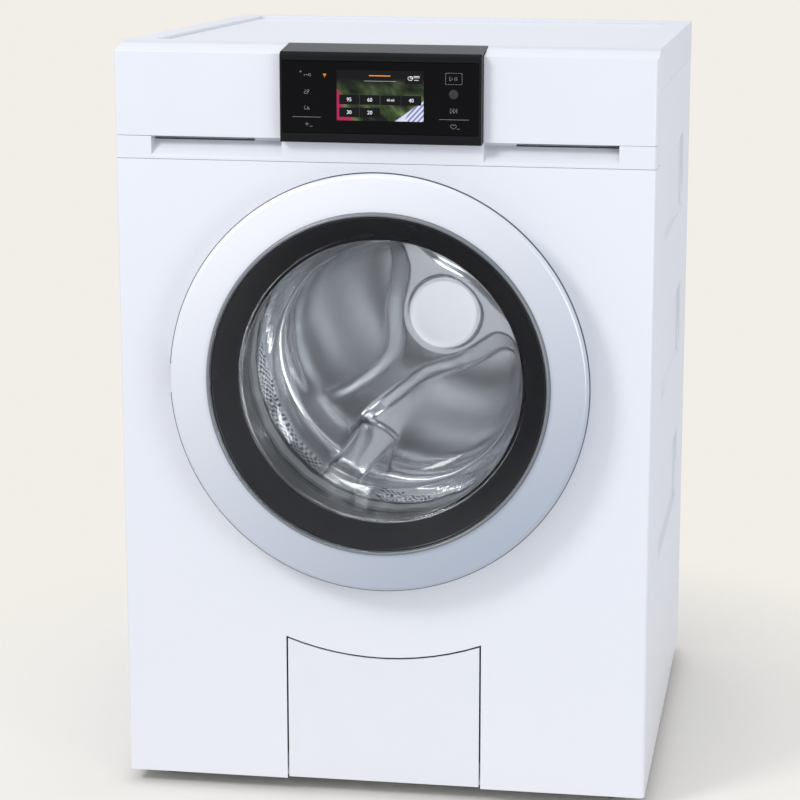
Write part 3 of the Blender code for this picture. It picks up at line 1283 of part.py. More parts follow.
def make_hinge():
    """Bracket on the cabinet, and the arm on the door with its pressed-in pin."""
    plate_depth = PANEL_WALL + GAP
    bracket = box(
        "hinge_bracket", (HINGE_PLATE_X, plate_depth, DOOR_Z - HINGE_PAD_HALF),
        (HINGE_STEM_X + HINGE_STEM_WALL / 2, plate_depth + HINGE_PLATE_WALL, DOOR_Z + HINGE_PAD_HALF),
        "steel",
    )
    half = HINGE_STEM_WALL / 2
    eye_z = (DOOR_Z - HINGE_EYE_HALF, DOOR_Z + HINGE_EYE_HALF)
    stem_section = [
        (HINGE_STEM_X - half, plate_depth + HINGE_PLATE_WALL / 2),
        (HINGE_STEM_X + half, plate_depth + HINGE_PLATE_WALL / 2), (HINGE_STEM_X + half, -PANEL_WALL),
        (HINGE_X + half, -HINGE_PROUD), (HINGE_X - half, -HINGE_PROUD), (HINGE_STEM_X - half, -PANEL_WALL),
    ]
    stem = extruded("hinge_stem", [stem_section], "Z", *eye_z, collection=cutters)
    eye = cylinder(
        "hinge_eye", HINGE_EYE_RADIUS, hinge_point(eye_z[0]), hinge_point(eye_z[1]),
        steps=EYE_STEPS, collection=cutters,
    )
    join(bracket, stem, eye)
    bore = cylinder(
        "hinge_bore_cut", HINGE_PIN_RADIUS + GAP, hinge_point(eye_z[0] - OVERRUN),
        hinge_point(eye_z[1] + OVERRUN), steps=EYE_STEPS, collection=cutters,
    )
    cut(bracket, bore)
    pad_low = BACK_RING_PROUD + BACK_RING_WALL + GAP
    pad_high = pad_low + HINGE_PLATE_WALL
    arm = box(
        "door_hinge_arm", (HINGE_WEB_X, -pad_high, DOOR_Z - HINGE_PAD_HALF),
        (HINGE_WEB_END_X, -pad_low, DOOR_Z + HINGE_PAD_HALF), "steel",
    )
    ears = []
    ear_low = HINGE_EYE_HALF + GAP
    for side in SIDES:
        ends = sorted((DOOR_Z + side * ear_low, DOOR_Z + side * HINGE_EAR_HALF))
        foot_x = HINGE_WEB_END_X - HINGE_PLATE_WALL
        section = [
            (HINGE_X - HINGE_EYE_RADIUS / 2, -pad_low), (foot_x, -pad_low - HINGE_PLATE_WALL / 3),
            (foot_x, -pad_high - HINGE_PLATE_WALL), (HINGE_X + HINGE_EYE_RADIUS / 2, -HINGE_PROUD),
            (HINGE_X - HINGE_EYE_RADIUS / 2, -HINGE_PROUD),
        ]
        ears.append(extruded("hinge_ear", [section], "Z", *ends, collection=cutters))
        ears.append(cylinder(
            "hinge_ear_eye", HINGE_EYE_RADIUS, hinge_point(ends[0]), hinge_point(ends[1]),
            steps=EYE_STEPS, collection=cutters,
        ))
    join(arm, *ears)
    pin = cylinder(
        "hinge_pin", HINGE_PIN_RADIUS, hinge_point(DOOR_Z - HINGE_EAR_HALF + HINGE_PIN_RADIUS),
        hinge_point(DOOR_Z + HINGE_EAR_HALF - HINGE_PIN_RADIUS), steps=EYE_STEPS, collection=cutters,
    )
    return bracket, join(arm, pin)


def make_door_lock():
    low_x = LOCK_SLOT_LOW_X
    depth = PANEL_WALL + GAP
    lock = box(
        "door_lock", (low_x, depth, DOOR_Z - LOCK_HALF), (LOCK_HIGH_X, LOCK_DEPTH, DOOR_Z + LOCK_HALF),
        "black_satin",
    )
    mouth = box(
        "lock_mouth_cut", (low_x + LOCK_WALL / 3, depth - OVERRUN, DOOR_Z - LOCK_SLOT_HALF),
        (LOCK_SLOT_HIGH_X, HOOK_REACH + LOCK_WALL, DOOR_Z + LOCK_SLOT_HALF), collection=cutters,
    )
    return cut(lock, mouth)


def make_flap():
    """The service flap with a stiffening rib each side and its hinge barrel along the bottom."""
    low_z = FEET_GAP + FLAP_GAP
    flap = extruded(
        "service_flap", [flap_outline(FLAP_HALF, FLAP_ARC_RADIUS, low_z)], "Y", 0.0, FLAP_WALL,
        "white_plastic",
    )
    top_z = DOOR_Z - FLAP_ARC_RADIUS
    ribs = [
        box("flap_rib", (side * FLAP_RIB_X - FLAP_WALL / 2, FLAP_WALL / 2, low_z + FLAP_RIB_MARGIN),
            (side * FLAP_RIB_X + FLAP_WALL / 2, FLAP_RIB_DEPTH, top_z - FLAP_RIB_MARGIN),
            collection=cutters)
        for side in SIDES
    ]
    axis_z = FEET_GAP + FLAP_AXIS_LIFT
    barrel = cylinder(
        "flap_barrel", FLAP_BARREL_RADIUS, (-FLAP_BARREL_HALF, FLAP_AXIS_DEPTH, axis_z),
        (FLAP_BARREL_HALF, FLAP_AXIS_DEPTH, axis_z), steps=EYE_STEPS, collection=cutters,
    )
    pin_half = FLAP_BARREL_HALF + FLAP_EAR_WALL
    pin = cylinder(
        "flap_pin", FLAP_PIN_RADIUS, (-pin_half, FLAP_AXIS_DEPTH, axis_z),
        (pin_half, FLAP_AXIS_DEPTH, axis_z), steps=EYE_STEPS, collection=cutters,
    )
    return join(flap, barrel, pin, *ribs)


def flap_ears():
    """Two ears on the base that hold the flap's pin."""
    made = []
    axis_z = FEET_GAP + FLAP_AXIS_LIFT
    for side in SIDES:
        ends = sorted((side * (FLAP_BARREL_HALF + GAP), side * (FLAP_BARREL_HALF + FLAP_EAR_WALL)))
        made.append(cylinder(
            "flap_ear", FLAP_EAR_RADIUS, (ends[0], FLAP_AXIS_DEPTH, axis_z),
            (ends[1], FLAP_AXIS_DEPTH, axis_z), steps=EYE_STEPS, collection=cutters,
        ))
        made.append(box(
            "flap_ear_arm", (ends[0], FLAP_AXIS_DEPTH, axis_z - FLAP_EAR_RADIUS * FLAP_EAR_ARM_SHARE),
            (ends[1], BASE_FRONT_DEPTH + BASE_WALL / 2, axis_z + FLAP_EAR_RADIUS * FLAP_EAR_ARM_SHARE),
            collection=cutters,
        ))
    return made


def gasket_path():
    """The gasket's folded wall, from the panel's opening to the tub's collar."""
    collar = TUB_COLLAR + TUB_WALL + GAP + GASKET_WALL / 2
    lip = OPENING_RADIUS * math.cos(math.pi / TURN_STEPS) - GAP - GASKET_WALL / 2
    behind = PANEL_WALL + GAP + GASKET_WALL / 2
    radial = [lip + GASKET_LIP_REACH, lip - GASKET_WALL, GASKET_THROAT, GASKET_SEAL, GASKET_THROAT]
    return [
        (radial[0], behind), (radial[1], behind), (radial[2], GASKET_SEAL_DEPTH / 2),
        (radial[3], GASKET_SEAL_DEPTH), (radial[4], GASKET_SEAL_DEPTH + GASKET_FOLD_STEP),
        (GASKET_FOLD - GASKET_FOLD_STEP, GASKET_FOLD_DEPTH - GASKET_FOLD_STEP),
        (GASKET_FOLD, GASKET_FOLD_DEPTH), (GASKET_FOLD, GASKET_FOLD_DEPTH + GASKET_FOLD_STEP),
        (collar + GASKET_WALL, TUB_COLLAR_DEPTH - GASKET_WALL), (collar, TUB_COLLAR_DEPTH),
        (collar, GASKET_END_DEPTH),
    ]


def make_gasket():
    gasket = turned("door_gasket", wall_profile(gasket_path(), GASKET_WALL), "grey_rubber", TUB_STEPS)
    inner = TUB_COLLAR + TUB_WALL + GASKET_WALL + 2 * GAP
    end = GASKET_END_DEPTH - GASKET_WALL / 2
    clamp = turned("gasket_clamp", [
        (inner, end - CLAMP_WIDTH), (inner + CLAMP_WALL, end - CLAMP_WIDTH),
        (inner + CLAMP_WALL, end), (inner, end),
    ], "stainless", TUB_STEPS)
    return gasket, clamp


def make_tub_front():
    wall = TUB_WALL
    flange = TUB_SPLIT_DEPTH - GAP
    tub = turned("tub_front", [
        (TUB_COLLAR, TUB_COLLAR_DEPTH), (TUB_COLLAR + wall, TUB_COLLAR_DEPTH),
        (TUB_COLLAR + wall, TUB_FRONT_DEPTH), (TUB_INNER + wall - TUB_SHOULDER, TUB_FRONT_DEPTH),
        (TUB_INNER + wall, TUB_FRONT_DEPTH + TUB_SHOULDER),
        (TUB_INNER + wall, flange - TUB_FLANGE_WALL), (TUB_FLANGE, flange - TUB_FLANGE_WALL),
        (TUB_FLANGE, flange), (TUB_INNER, flange), (TUB_INNER, TUB_FRONT_DEPTH + TUB_SHOULDER + wall / 2),
        (TUB_INNER - TUB_SHOULDER, TUB_FRONT_DEPTH + wall), (TUB_COLLAR, TUB_FRONT_DEPTH + wall),
    ], "tub_plastic", TUB_STEPS)
    return tub


def make_counterweight():
    """A cast concrete ring round the tub's mouth, flat at its left and right."""
    rear = TUB_FRONT_DEPTH - GAP
    front = rear - WEIGHT_WALL
    weight = turned("front_counterweight", [
        (WEIGHT_INNER, front), (WEIGHT_OUTER - WEIGHT_CHAMFER, front),
        (WEIGHT_OUTER, front + WEIGHT_CHAMFER), (WEIGHT_OUTER, rear), (WEIGHT_INNER, rear),
    ], "concrete", INNER_STEPS)
    gaps = [
        box("weight_cut",
            (min(side * WEIGHT_CUT_X, side * (WEIGHT_OUTER + OVERRUN)), front - OVERRUN,
             DOOR_Z - WEIGHT_CUT_Z),
            (max(side * WEIGHT_CUT_X, side * (WEIGHT_OUTER + OVERRUN)), rear + OVERRUN,
             DOOR_Z + WEIGHT_CUT_Z), collection=cutters)
        for side in SIDES
    ]
    return cut(weight, *gaps)


def make_tub_rear():
    """The rear half: its shell and hub turned in one, ribs on the back, sump and mounting bosses."""
    wall = TUB_WALL
    rear = TUB_REAR_DEPTH
    seal_end = HUB_FRONT_DEPTH + SEAL_WALL + GAP
    front_seat = seal_end + BEARING_FRONT[1] + GAP
    rear_seat = HUB_REAR_DEPTH - BEARING_REAR[1] - 2 * GAP
    tub = turned("tub_rear", [
        (TUB_FLANGE, TUB_SPLIT_DEPTH), (TUB_INNER, TUB_SPLIT_DEPTH),
        (TUB_INNER, rear - TUB_REAR_CONE), (TUB_INNER - TUB_REAR_CONE, rear), (HUB_RADIUS, rear),
        (HUB_RADIUS, HUB_FRONT_DEPTH), (SEAL_RADIUS + GAP, HUB_FRONT_DEPTH),
        (SEAL_RADIUS + GAP, seal_end), (BEARING_FRONT[0] + GAP, seal_end),
        (BEARING_FRONT[0] + GAP, front_seat), (HUB_SHOULDER, front_seat), (HUB_SHOULDER, rear_seat),
        (BEARING_REAR[0] + GAP, rear_seat), (BEARING_REAR[0] + GAP, HUB_REAR_DEPTH),
        (HUB_RADIUS, HUB_REAR_DEPTH), (HUB_RADIUS, rear + wall),
        (TUB_INNER - TUB_REAR_CONE + wall / 2, rear + wall),
        (TUB_INNER + wall, rear - TUB_REAR_CONE + wall / 2),
        (TUB_INNER + wall, TUB_SPLIT_DEPTH + TUB_FLANGE_WALL),
        (TUB_FLANGE, TUB_SPLIT_DEPTH + TUB_FLANGE_WALL),
    ], "tub_plastic", TUB_STEPS)
    added = []
    for number in range(TUB_RIBS):
        rib = box(
            "tub_rib", (HUB_RADIUS - wall, rear + wall / 2, DOOR_Z - TUB_RIB_WALL / 2),
            (TUB_RIB_OUTER, rear + TUB_RIB_DEPTH, DOOR_Z + TUB_RIB_WALL / 2), collection=cutters,
        )
        turn_about_axis(rib, (2 * number + 1) * HALF_TURN / TUB_RIBS)
        added.append(rib)
    added.append(box(
        "sump", (-SUMP_HALF, SUMP_FRONT_DEPTH, SUMP_Z), (SUMP_HALF, SUMP_REAR_DEPTH, SUMP_TOP_Z),
        collection=cutters,
    ))
    for side in SIDES:
        added.append(box(
            "damper_boss",
            (side * DAMPER_X - DAMPER_BOSS_HALF, DAMPER_DEPTH - DAMPER_BOSS_HALF, DAMPER_BOSS_Z),
            (side * DAMPER_X + DAMPER_BOSS_HALF, DAMPER_DEPTH + DAMPER_BOSS_HALF, DAMPER_BOSS_TOP_Z),
            collection=cutters,
        ))
        added.append(box(
            "spring_boss",
            (side * SPRING_X - SPRING_BOSS_HALF, SPRING_DEPTH - SPRING_BOSS_HALF, SPRING_BOSS_Z),
            (side * SPRING_X + SPRING_BOSS_HALF, SPRING_DEPTH + SPRING_BOSS_HALF, SPRING_BOSS_TOP_Z),
            collection=cutters,
        ))
    added.append(cylinder(
        "hose_boss", SPOUT_RADIUS, (SPOUT_X, SPOUT_DEPTH, HOSE_BOSS_Z),
        (SPOUT_X, SPOUT_DEPTH, HOSE_BOSS_TOP_Z), steps=FOOT_STEPS, collection=cutters,
    ))
    join(tub, *added, *damper_rods())
    inside = cylinder(
        "tub_inside_cut", TUB_INNER - GAP, (0, TUB_SPLIT_DEPTH - OVERRUN, DOOR_Z),
        (0, rear - TUB_REAR_CONE, DOOR_Z), steps=TUB_STEPS, collection=cutters,
    )
    well = box(
        "sump_well_cut", (-SUMP_HALF + SUMP_WALL, SUMP_FRONT_DEPTH + SUMP_WALL, SUMP_Z + SUMP_WALL),
        (SUMP_HALF - SUMP_WALL, SUMP_REAR_DEPTH - SUMP_WALL, SUMP_TOP_Z + SUMP_WALL), collection=cutters,
    )
    outlet = cylinder(
        "sump_outlet_cut", SUMP_HOSE_RADIUS - SUMP_WALL,
        (SUMP_HOSE_X, SUMP_HOSE_DEPTH, SUMP_Z - OVERRUN),
        (SUMP_HOSE_X, SUMP_HOSE_DEPTH, SUMP_Z + OVERRUN), steps=FOOT_STEPS, collection=cutters,
    )
    inlet = cylinder(
        "tub_inlet_cut", SPOUT_BORE, (SPOUT_X, SPOUT_DEPTH, HOSE_BOSS_Z),
        (SPOUT_X, SPOUT_DEPTH, HOSE_BOSS_TOP_Z + OVERRUN), steps=FOOT_STEPS, collection=cutters,
    )
    slot = box(
        "heater_slot_cut",
        (-HEATER_HALF - HEATER_RADIUS - GAP, SUMP_FRONT_DEPTH - OVERRUN, HEATER_Z - HEATER_RADIUS - GAP),
        (HEATER_HALF + HEATER_RADIUS + GAP, SUMP_FRONT_DEPTH + OVERRUN, HEATER_Z + HEATER_RADIUS + GAP),
        collection=cutters,
    )
    return cut(tub, inside, well, outlet, inlet, slot)


def turn_about_axis(obj, degrees):
    """Turns a piece about the drum's axis and keeps the turn in its mesh."""
    centre = Matrix.Translation((0.0, 0.0, DOOR_Z))
    turn = centre @ Matrix.Rotation(math.radians(degrees), 4, "Y") @ centre.inverted()
    obj.data.transform(turn @ obj.matrix_world)
    obj.matrix_world = Matrix.Identity(4)


def make_bearings():
    seal_start = HUB_FRONT_DEPTH
    front_start = seal_start + SEAL_WALL + GAP + GAP
    rear_start = HUB_REAR_DEPTH - BEARING_REAR[1] - GAP
    seal = turned("shaft_seal", [
        (SHAFT_FRONT_RADIUS + SHAFT_CLEARANCE, seal_start), (SEAL_RADIUS, seal_start),
        (SEAL_RADIUS, seal_start + SEAL_WALL),
        (SHAFT_FRONT_RADIUS + SHAFT_CLEARANCE, seal_start + SEAL_WALL),
    ], "black_rubber", INNER_STEPS)
    races = []
    for name, start, (outer, width), inner in (
        ("bearing_front", front_start, BEARING_FRONT, SHAFT_FRONT_RADIUS + SHAFT_CLEARANCE),
        ("bearing_rear", rear_start, BEARING_REAR, SHAFT_REAR_RADIUS + SHAFT_CLEARANCE),
    ):
        races.append(turned(name, [
            (inner, start), (outer, start), (outer, start + width), (inner, start + width),
        ], "steel", BEARING_STEPS))
    return [seal] + races


def make_drum_shell():
    """The stainless drum: rolled mouth, front cone, cylinder and closed back."""
    wall = DRUM_WALL
    middle = DRUM_INNER + wall / 2
    front, rear = DRUM_FRONT_DEPTH, DRUM_REAR_DEPTH
    path = [
        (DRUM_MOUTH + DRUM_LIP, front - DRUM_LIP / 2), (DRUM_MOUTH, front + DRUM_LIP / 2),
        (DRUM_MOUTH + DRUM_LIP, front + 2 * DRUM_LIP), (middle - DRUM_SHOULDER, front + 3 * DRUM_LIP),
    ]
    path += arc((middle - DRUM_SHOULDER, front + 3 * DRUM_LIP + DRUM_SHOULDER), DRUM_SHOULDER, -45, 0, 1)
    path += arc((middle - DRUM_CORNER, rear - DRUM_CORNER), DRUM_CORNER, 0, 90, 2)
    path += [(DRUM_PRESS_RADIUS, rear), (DRUM_PRESS_RADIUS - DRUM_PRESS_STEP, rear - DRUM_PRESS_STEP),
             (DRUM_BOSS_RADIUS, rear - DRUM_PRESS_STEP)]
    loop = wall_profile(path, wall)
    half = len(path)
    outside, inside = loop[:half], loop[half:][::-1]
    if outside[-1][1] < inside[-1][1]:
        outside, inside = inside, outside
    back = rear - DRUM_PRESS_STEP
    profile = [(0.0, back + wall / 2)] + outside[::-1] + inside + [(0.0, back - wall / 2)]
    return turned("drum_shell", profile, "stainless", DRUM_STEPS)


def make_lifters():
    """Three hollow-backed paddles, tapered towards the rear, that stand on the drum's wall."""
    lifters = []
    seat = math.sqrt((DRUM_INNER * FACET_SHARE) ** 2 - LIFTER_BASE_HALF ** 2) - GAP
    for number in range(LIFTER_COUNT):
        section = [
            (-LIFTER_BASE_HALF, DOOR_Z - seat), (LIFTER_BASE_HALF, DOOR_Z - seat),
            (LIFTER_TOP_HALF, DOOR_Z - seat + LIFTER_HEIGHT),
            (-LIFTER_TOP_HALF, DOOR_Z - seat + LIFTER_HEIGHT),
        ]
        lifter = extruded(
            f"lifter_{number + 1}", [section], "Y", LIFTER_START_DEPTH, LIFTER_END_DEPTH, "stainless",
        )
        lifter.data.transform(lifter.matrix_world)
        lifter.matrix_world = Matrix.Identity(4)
        for vertex in lifter.data.vertices:
            if vertex.co.z > DOOR_Z - seat + LIFTER_HEIGHT / 2:
                start = vertex.co.y < depth_y((LIFTER_START_DEPTH + LIFTER_END_DEPTH) / 2)
                vertex.co.y += LIFTER_HEIGHT * LIFTER_SLOPE_SHARE * (1 if start else -1)
                vertex.co.x *= 1 if start else LIFTER_TAPER_SHARE
        turn_about_axis(lifter, 2 * HALF_TURN * number / LIFTER_COUNT + LIFTER_LEAN)
        bevel = lifter.modifiers.new("round", "BEVEL")
        bevel.width = LIFTER_FILLET
        bevel.segments = 2
        bevel.limit_method = "ANGLE"
        bevel.angle_limit = math.radians(LIFTER_BEVEL_ANGLE)
        lifters.append(lifter)
    return lifters


def make_spider():
    """Three tapered arms behind the drum, with a hub bored for the shaft."""
    front = DRUM_REAR_DEPTH + DRUM_WALL / 2 + GAP
    spider = cylinder(
        "drum_spider", SPIDER_HUB, (0, front, DOOR_Z), (0, front + SPIDER_HUB_WALL, DOOR_Z),
        "cast_aluminium", BEARING_STEPS,
    )
    arms = []
    for number in range(SPIDER_ARMS):
        outline = [
            (-SPIDER_ROOT_HALF, DOOR_Z), (SPIDER_ROOT_HALF, DOOR_Z),
            (SPIDER_TIP_HALF, DOOR_Z - SPIDER_REACH), (-SPIDER_TIP_HALF, DOOR_Z - SPIDER_REACH),
        ]
        arm = extruded(
            "spider_arm", [outline], "Y", front, front + SPIDER_WALL, collection=cutters,
        )
        turn_about_axis(arm, 360 * number / SPIDER_ARMS)
        arms.append(arm)
    join(spider, *arms)
    bore = cylinder(
        "spider_bore_cut", SHAFT_FRONT_RADIUS + GAP, (0, front - OVERRUN, DOOR_Z),
        (0, front + SPIDER_HUB_WALL + OVERRUN, DOOR_Z), steps=BEARING_STEPS, collection=cutters,
    )
    return cut(spider, bore)


def make_shaft_and_pulley():
    start = DRUM_REAR_DEPTH + DRUM_WALL / 2 + 2 * GAP
    step = HUB_FRONT_DEPTH + SEAL_WALL + BEARING_FRONT[1] + 3 * GAP
    end = PULLEY_DEPTH + PULLEY_WIDTH
    washer = end + GAP
    shaft = turned("drum_shaft", [
        (0.0, start), (SHAFT_FRONT_RADIUS, start), (SHAFT_FRONT_RADIUS, step), (SHAFT_REAR_RADIUS, step),
        (SHAFT_REAR_RADIUS, washer), (WASHER_RADIUS, washer), (WASHER_RADIUS, washer + WASHER_WALL),
        (0.0, washer + WASHER_WALL),
    ], "steel", BEARING_STEPS)
    head = cylinder(
        "bolt_head", BOLT_HEAD_RADIUS, (0, washer + WASHER_WALL / 2, DOOR_Z),
        (0, washer + BOLT_HEAD_HEIGHT, DOOR_Z), steps=HEX_SIDES, collection=cutters,
    )
    join(shaft, head)
    bore = SHAFT_REAR_RADIUS + GAP
    web = PULLEY_DEPTH + (PULLEY_WIDTH - PULLEY_WEB) / 2
    rim = PULLEY_RADIUS - PULLEY_RIM_WALL
    pulley = turned("drum_pulley", [
        (bore, PULLEY_DEPTH), (PULLEY_HUB, PULLEY_DEPTH), (PULLEY_HUB, web), (rim, web),
        (rim, PULLEY_DEPTH), (PULLEY_RADIUS, PULLEY_DEPTH), (PULLEY_RADIUS, PULLEY_DEPTH + PULLEY_WIDTH),
        (rim, PULLEY_DEPTH + PULLEY_WIDTH), (rim, web + PULLEY_WEB), (PULLEY_HUB, web + PULLEY_WEB),
        (PULLEY_HUB, end), (bore, end),
    ], "cast_aluminium", INNER_STEPS)
    holes = []
    for number in range(PULLEY_HOLES):
        angle = math.radians(360 * number / PULLEY_HOLES)
        x = PULLEY_HOLE_CIRCLE * math.cos(angle)
        z = DOOR_Z + PULLEY_HOLE_CIRCLE * math.sin(angle)
        holes.append(cylinder(
            "pulley_hole_cut", PULLEY_HOLE_RADIUS, (x, PULLEY_DEPTH - OVERRUN, z),
            (x, end + OVERRUN, z), steps=PULLEY_HOLE_STEPS, collection=cutters,
        ))
    return shaft, cut(pulley, *holes)


def belt_loop(offset):
    """The belt's path at a distance outside both pulleys: tangents joined by arcs."""
    big = (0.0, DOOR_Z, PULLEY_RADIUS + offset)
    small = (MOTOR_X, MOTOR_Z, MOTOR_PULLEY_RADIUS + offset)
    run = Vector((small[0] - big[0], small[1] - big[1]))
    heading = math.degrees(math.atan2(run.y, run.x))
    lean = math.degrees(math.acos((big[2] - small[2]) / run.length))
    swell = 1 / math.cos(math.radians((180 - lean) / BELT_STEPS))
    loop = arc(big[:2], big[2] * swell, heading + lean, heading - lean + 360, BELT_STEPS)
    return loop + arc(small[:2], small[2] * swell, heading - lean, heading + lean, BELT_NOSE_STEPS)


def make_drive():
    """Motor case, its shaft with the small pulley, and the belt."""
    front, rear = MOTOR_FRONT_DEPTH, MOTOR_REAR_DEPTH
    bore = MOTOR_SHAFT_RADIUS + GAP
    hole = rear - MOTOR_SHAFT_INSET
    case = turned("motor", [
        (0.0, front), (MOTOR_NECK, front), (MOTOR_RADIUS, front + MOTOR_BELL),
        (MOTOR_RADIUS, rear - MOTOR_BELL), (MOTOR_NECK, rear), (bore, rear), (bore, hole), (0.0, hole),
    ], "steel", INNER_STEPS, (MOTOR_X, MOTOR_Z))
    added = []
    for side in SIDES:
        x = MOTOR_X + side * MOTOR_LUG_SPREAD
        added.append(box(
            "motor_lug", (x - MOTOR_LUG_WALL / 2, front + MOTOR_BELL, MOTOR_Z + MOTOR_NECK),
            (x + MOTOR_LUG_WALL / 2, rear - 2 * MOTOR_BELL - MOTOR_LUG_WALL, SUMP_Z - GAP),
            collection=cutters,
        ))
    join(case, *added)
    start = hole + GAP
    end = PULLEY_DEPTH + PULLEY_WIDTH
    flange = MOTOR_PULLEY_RADIUS + BELT_WALL / 2
    rotor = turned("motor_shaft_pulley", [
        (0.0, start), (MOTOR_SHAFT_RADIUS, start), (MOTOR_SHAFT_RADIUS, PULLEY_DEPTH - BELT_WALL / 2),
        (flange, PULLEY_DEPTH - BELT_WALL / 2), (flange, PULLEY_DEPTH), (MOTOR_PULLEY_RADIUS, PULLEY_DEPTH),
        (MOTOR_PULLEY_RADIUS, end), (flange, end), (flange, end + BELT_WALL / 2), (0.0, end + BELT_WALL / 2),
    ], "steel", BEARING_STEPS, (MOTOR_X, MOTOR_Z))
    middle = PULLEY_DEPTH + PULLEY_WIDTH / 2
    belt = extruded(
        "drive_belt", [belt_loop(GAP + BELT_WALL), belt_loop(GAP)], "Y",
        middle - BELT_WIDTH / 2, middle + BELT_WIDTH / 2, "black_rubber",
    )
    return case, rotor, belt


def make_heater():
    """A U-shaped element low in the sump, on a plate that closes the sump's front."""
    nose = arc((0.0, HEATER_END_DEPTH - HEATER_HALF), HEATER_HALF, 180, 0, BELT_NOSE_STEPS)
    front = SUMP_FRONT_DEPTH - GAP - HEATER_PLATE_WALL / 2
    path = [(-HEATER_HALF, front)] + nose + [(HEATER_HALF, front)]
    element = tube("heater", [(x, depth, HEATER_Z) for x, depth in path], HEATER_RADIUS, "steel", 1)
    plate = box(
        "heater_plate",
        (-HEATER_PLATE_HALF, SUMP_FRONT_DEPTH - GAP - HEATER_PLATE_WALL,
         HEATER_Z - HEATER_PLATE_HALF_HEIGHT),
        (HEATER_PLATE_HALF, SUMP_FRONT_DEPTH - GAP, HEATER_Z + HEATER_PLATE_HALF_HEIGHT),
        collection=cutters,
    )
    return join(element, plate)


def damper_tubes():
    """The friction dampers' tubes, bolted to the base and one piece with it here."""
    made = []
    for side in SIDES:
        x = side * DAMPER_X
        case = cylinder(
            "damper_tube", DAMPER_TUBE_RADIUS, (x, DAMPER_DEPTH, FEET_GAP + BASE_HEIGHT / 2),
            (x, DAMPER_DEPTH, DAMPER_TUBE_TOP_Z), steps=FOOT_STEPS, collection=cutters,
        )
        bore = cylinder(
            "damper_bore_cut", DAMPER_BORE, (x, DAMPER_DEPTH, DAMPER_BORE_LOW_Z),
            (x, DAMPER_DEPTH, DAMPER_TUBE_TOP_Z + OVERRUN), steps=FOOT_STEPS, collection=cutters,
        )
        made.append(cut(case, bore))
    return made


def damper_rods():
    """The dampers' rods with their eyes, pinned under the tub and one piece with it here."""
    made = []
    for side in SIDES:
        x = side * DAMPER_X
        made.append(cylinder(
            "damper_rod", DAMPER_ROD_RADIUS, (x, DAMPER_DEPTH, DAMPER_ROD_LOW_Z),
            (x, DAMPER_DEPTH, DAMPER_BOSS_Z - DAMPER_EYE_HEIGHT / 2), steps=FOOT_STEPS,
            collection=cutters,
        ))
        made.append(box(
            "damper_eye",
            (x - DAMPER_EYE_HALF, DAMPER_DEPTH - DAMPER_EYE_HALF, DAMPER_BOSS_Z - DAMPER_EYE_HEIGHT),
            (x + DAMPER_EYE_HALF, DAMPER_DEPTH + DAMPER_EYE_HALF, DAMPER_BOSS_Z + DAMPER_EYE_HEIGHT),
            collection=cutters,
        ))
    return made


def make_springs():
    """Two suspension springs between the rail and the tub's bosses, wound as helices."""
    made = []
    low = SPRING_BOSS_TOP_Z + GAP + SPRING_WIRE
    high = RAIL_LOW_Z - GAP - SPRING_WIRE
    turns = SPRING_TURNS
    coil = SPRING_RADIUS - SPRING_WIRE
    for side, word in zip(SIDES, ("left", "right")):
        points = []
        count = turns * SPRING_TURN_POINTS
        for step in range(count + 1):
            angle = 2 * math.pi * step / SPRING_TURN_POINTS
            points.append((
                side * SPRING_X + coil * math.cos(angle), SPRING_DEPTH + coil * math.sin(angle),
                low + (high - low) * step / count,
            ))
        made.append(tube(f"suspension_spring_{word}", points, SPRING_WIRE, "steel", 1))
    pitch = (high - low) / turns
    print(f"least gap between spring turns {pitch - 2 * SPRING_WIRE:.4f} m")
    return made


def make_rail():
    half = HALF_WIDTH - SIDE_WALL - GAP
    section = [
        (SPRING_DEPTH - RAIL_HALF, RAIL_LOW_Z), (SPRING_DEPTH + RAIL_HALF, RAIL_LOW_Z),
        (SPRING_DEPTH + RAIL_HALF, RAIL_LOW_Z + RAIL_HEIGHT),
        (SPRING_DEPTH + RAIL_HALF - RAIL_WALL, RAIL_LOW_Z + RAIL_HEIGHT),
        (SPRING_DEPTH + RAIL_HALF - RAIL_WALL, RAIL_LOW_Z + RAIL_WALL),
        (SPRING_DEPTH - RAIL_HALF + RAIL_WALL, RAIL_LOW_Z + RAIL_WALL),
        (SPRING_DEPTH - RAIL_HALF + RAIL_WALL, RAIL_LOW_Z + RAIL_HEIGHT),
        (SPRING_DEPTH - RAIL_HALF, RAIL_LOW_Z + RAIL_HEIGHT),
    ]
    return extruded("spring_rail", [section], "X", -half, half, "galvanised")


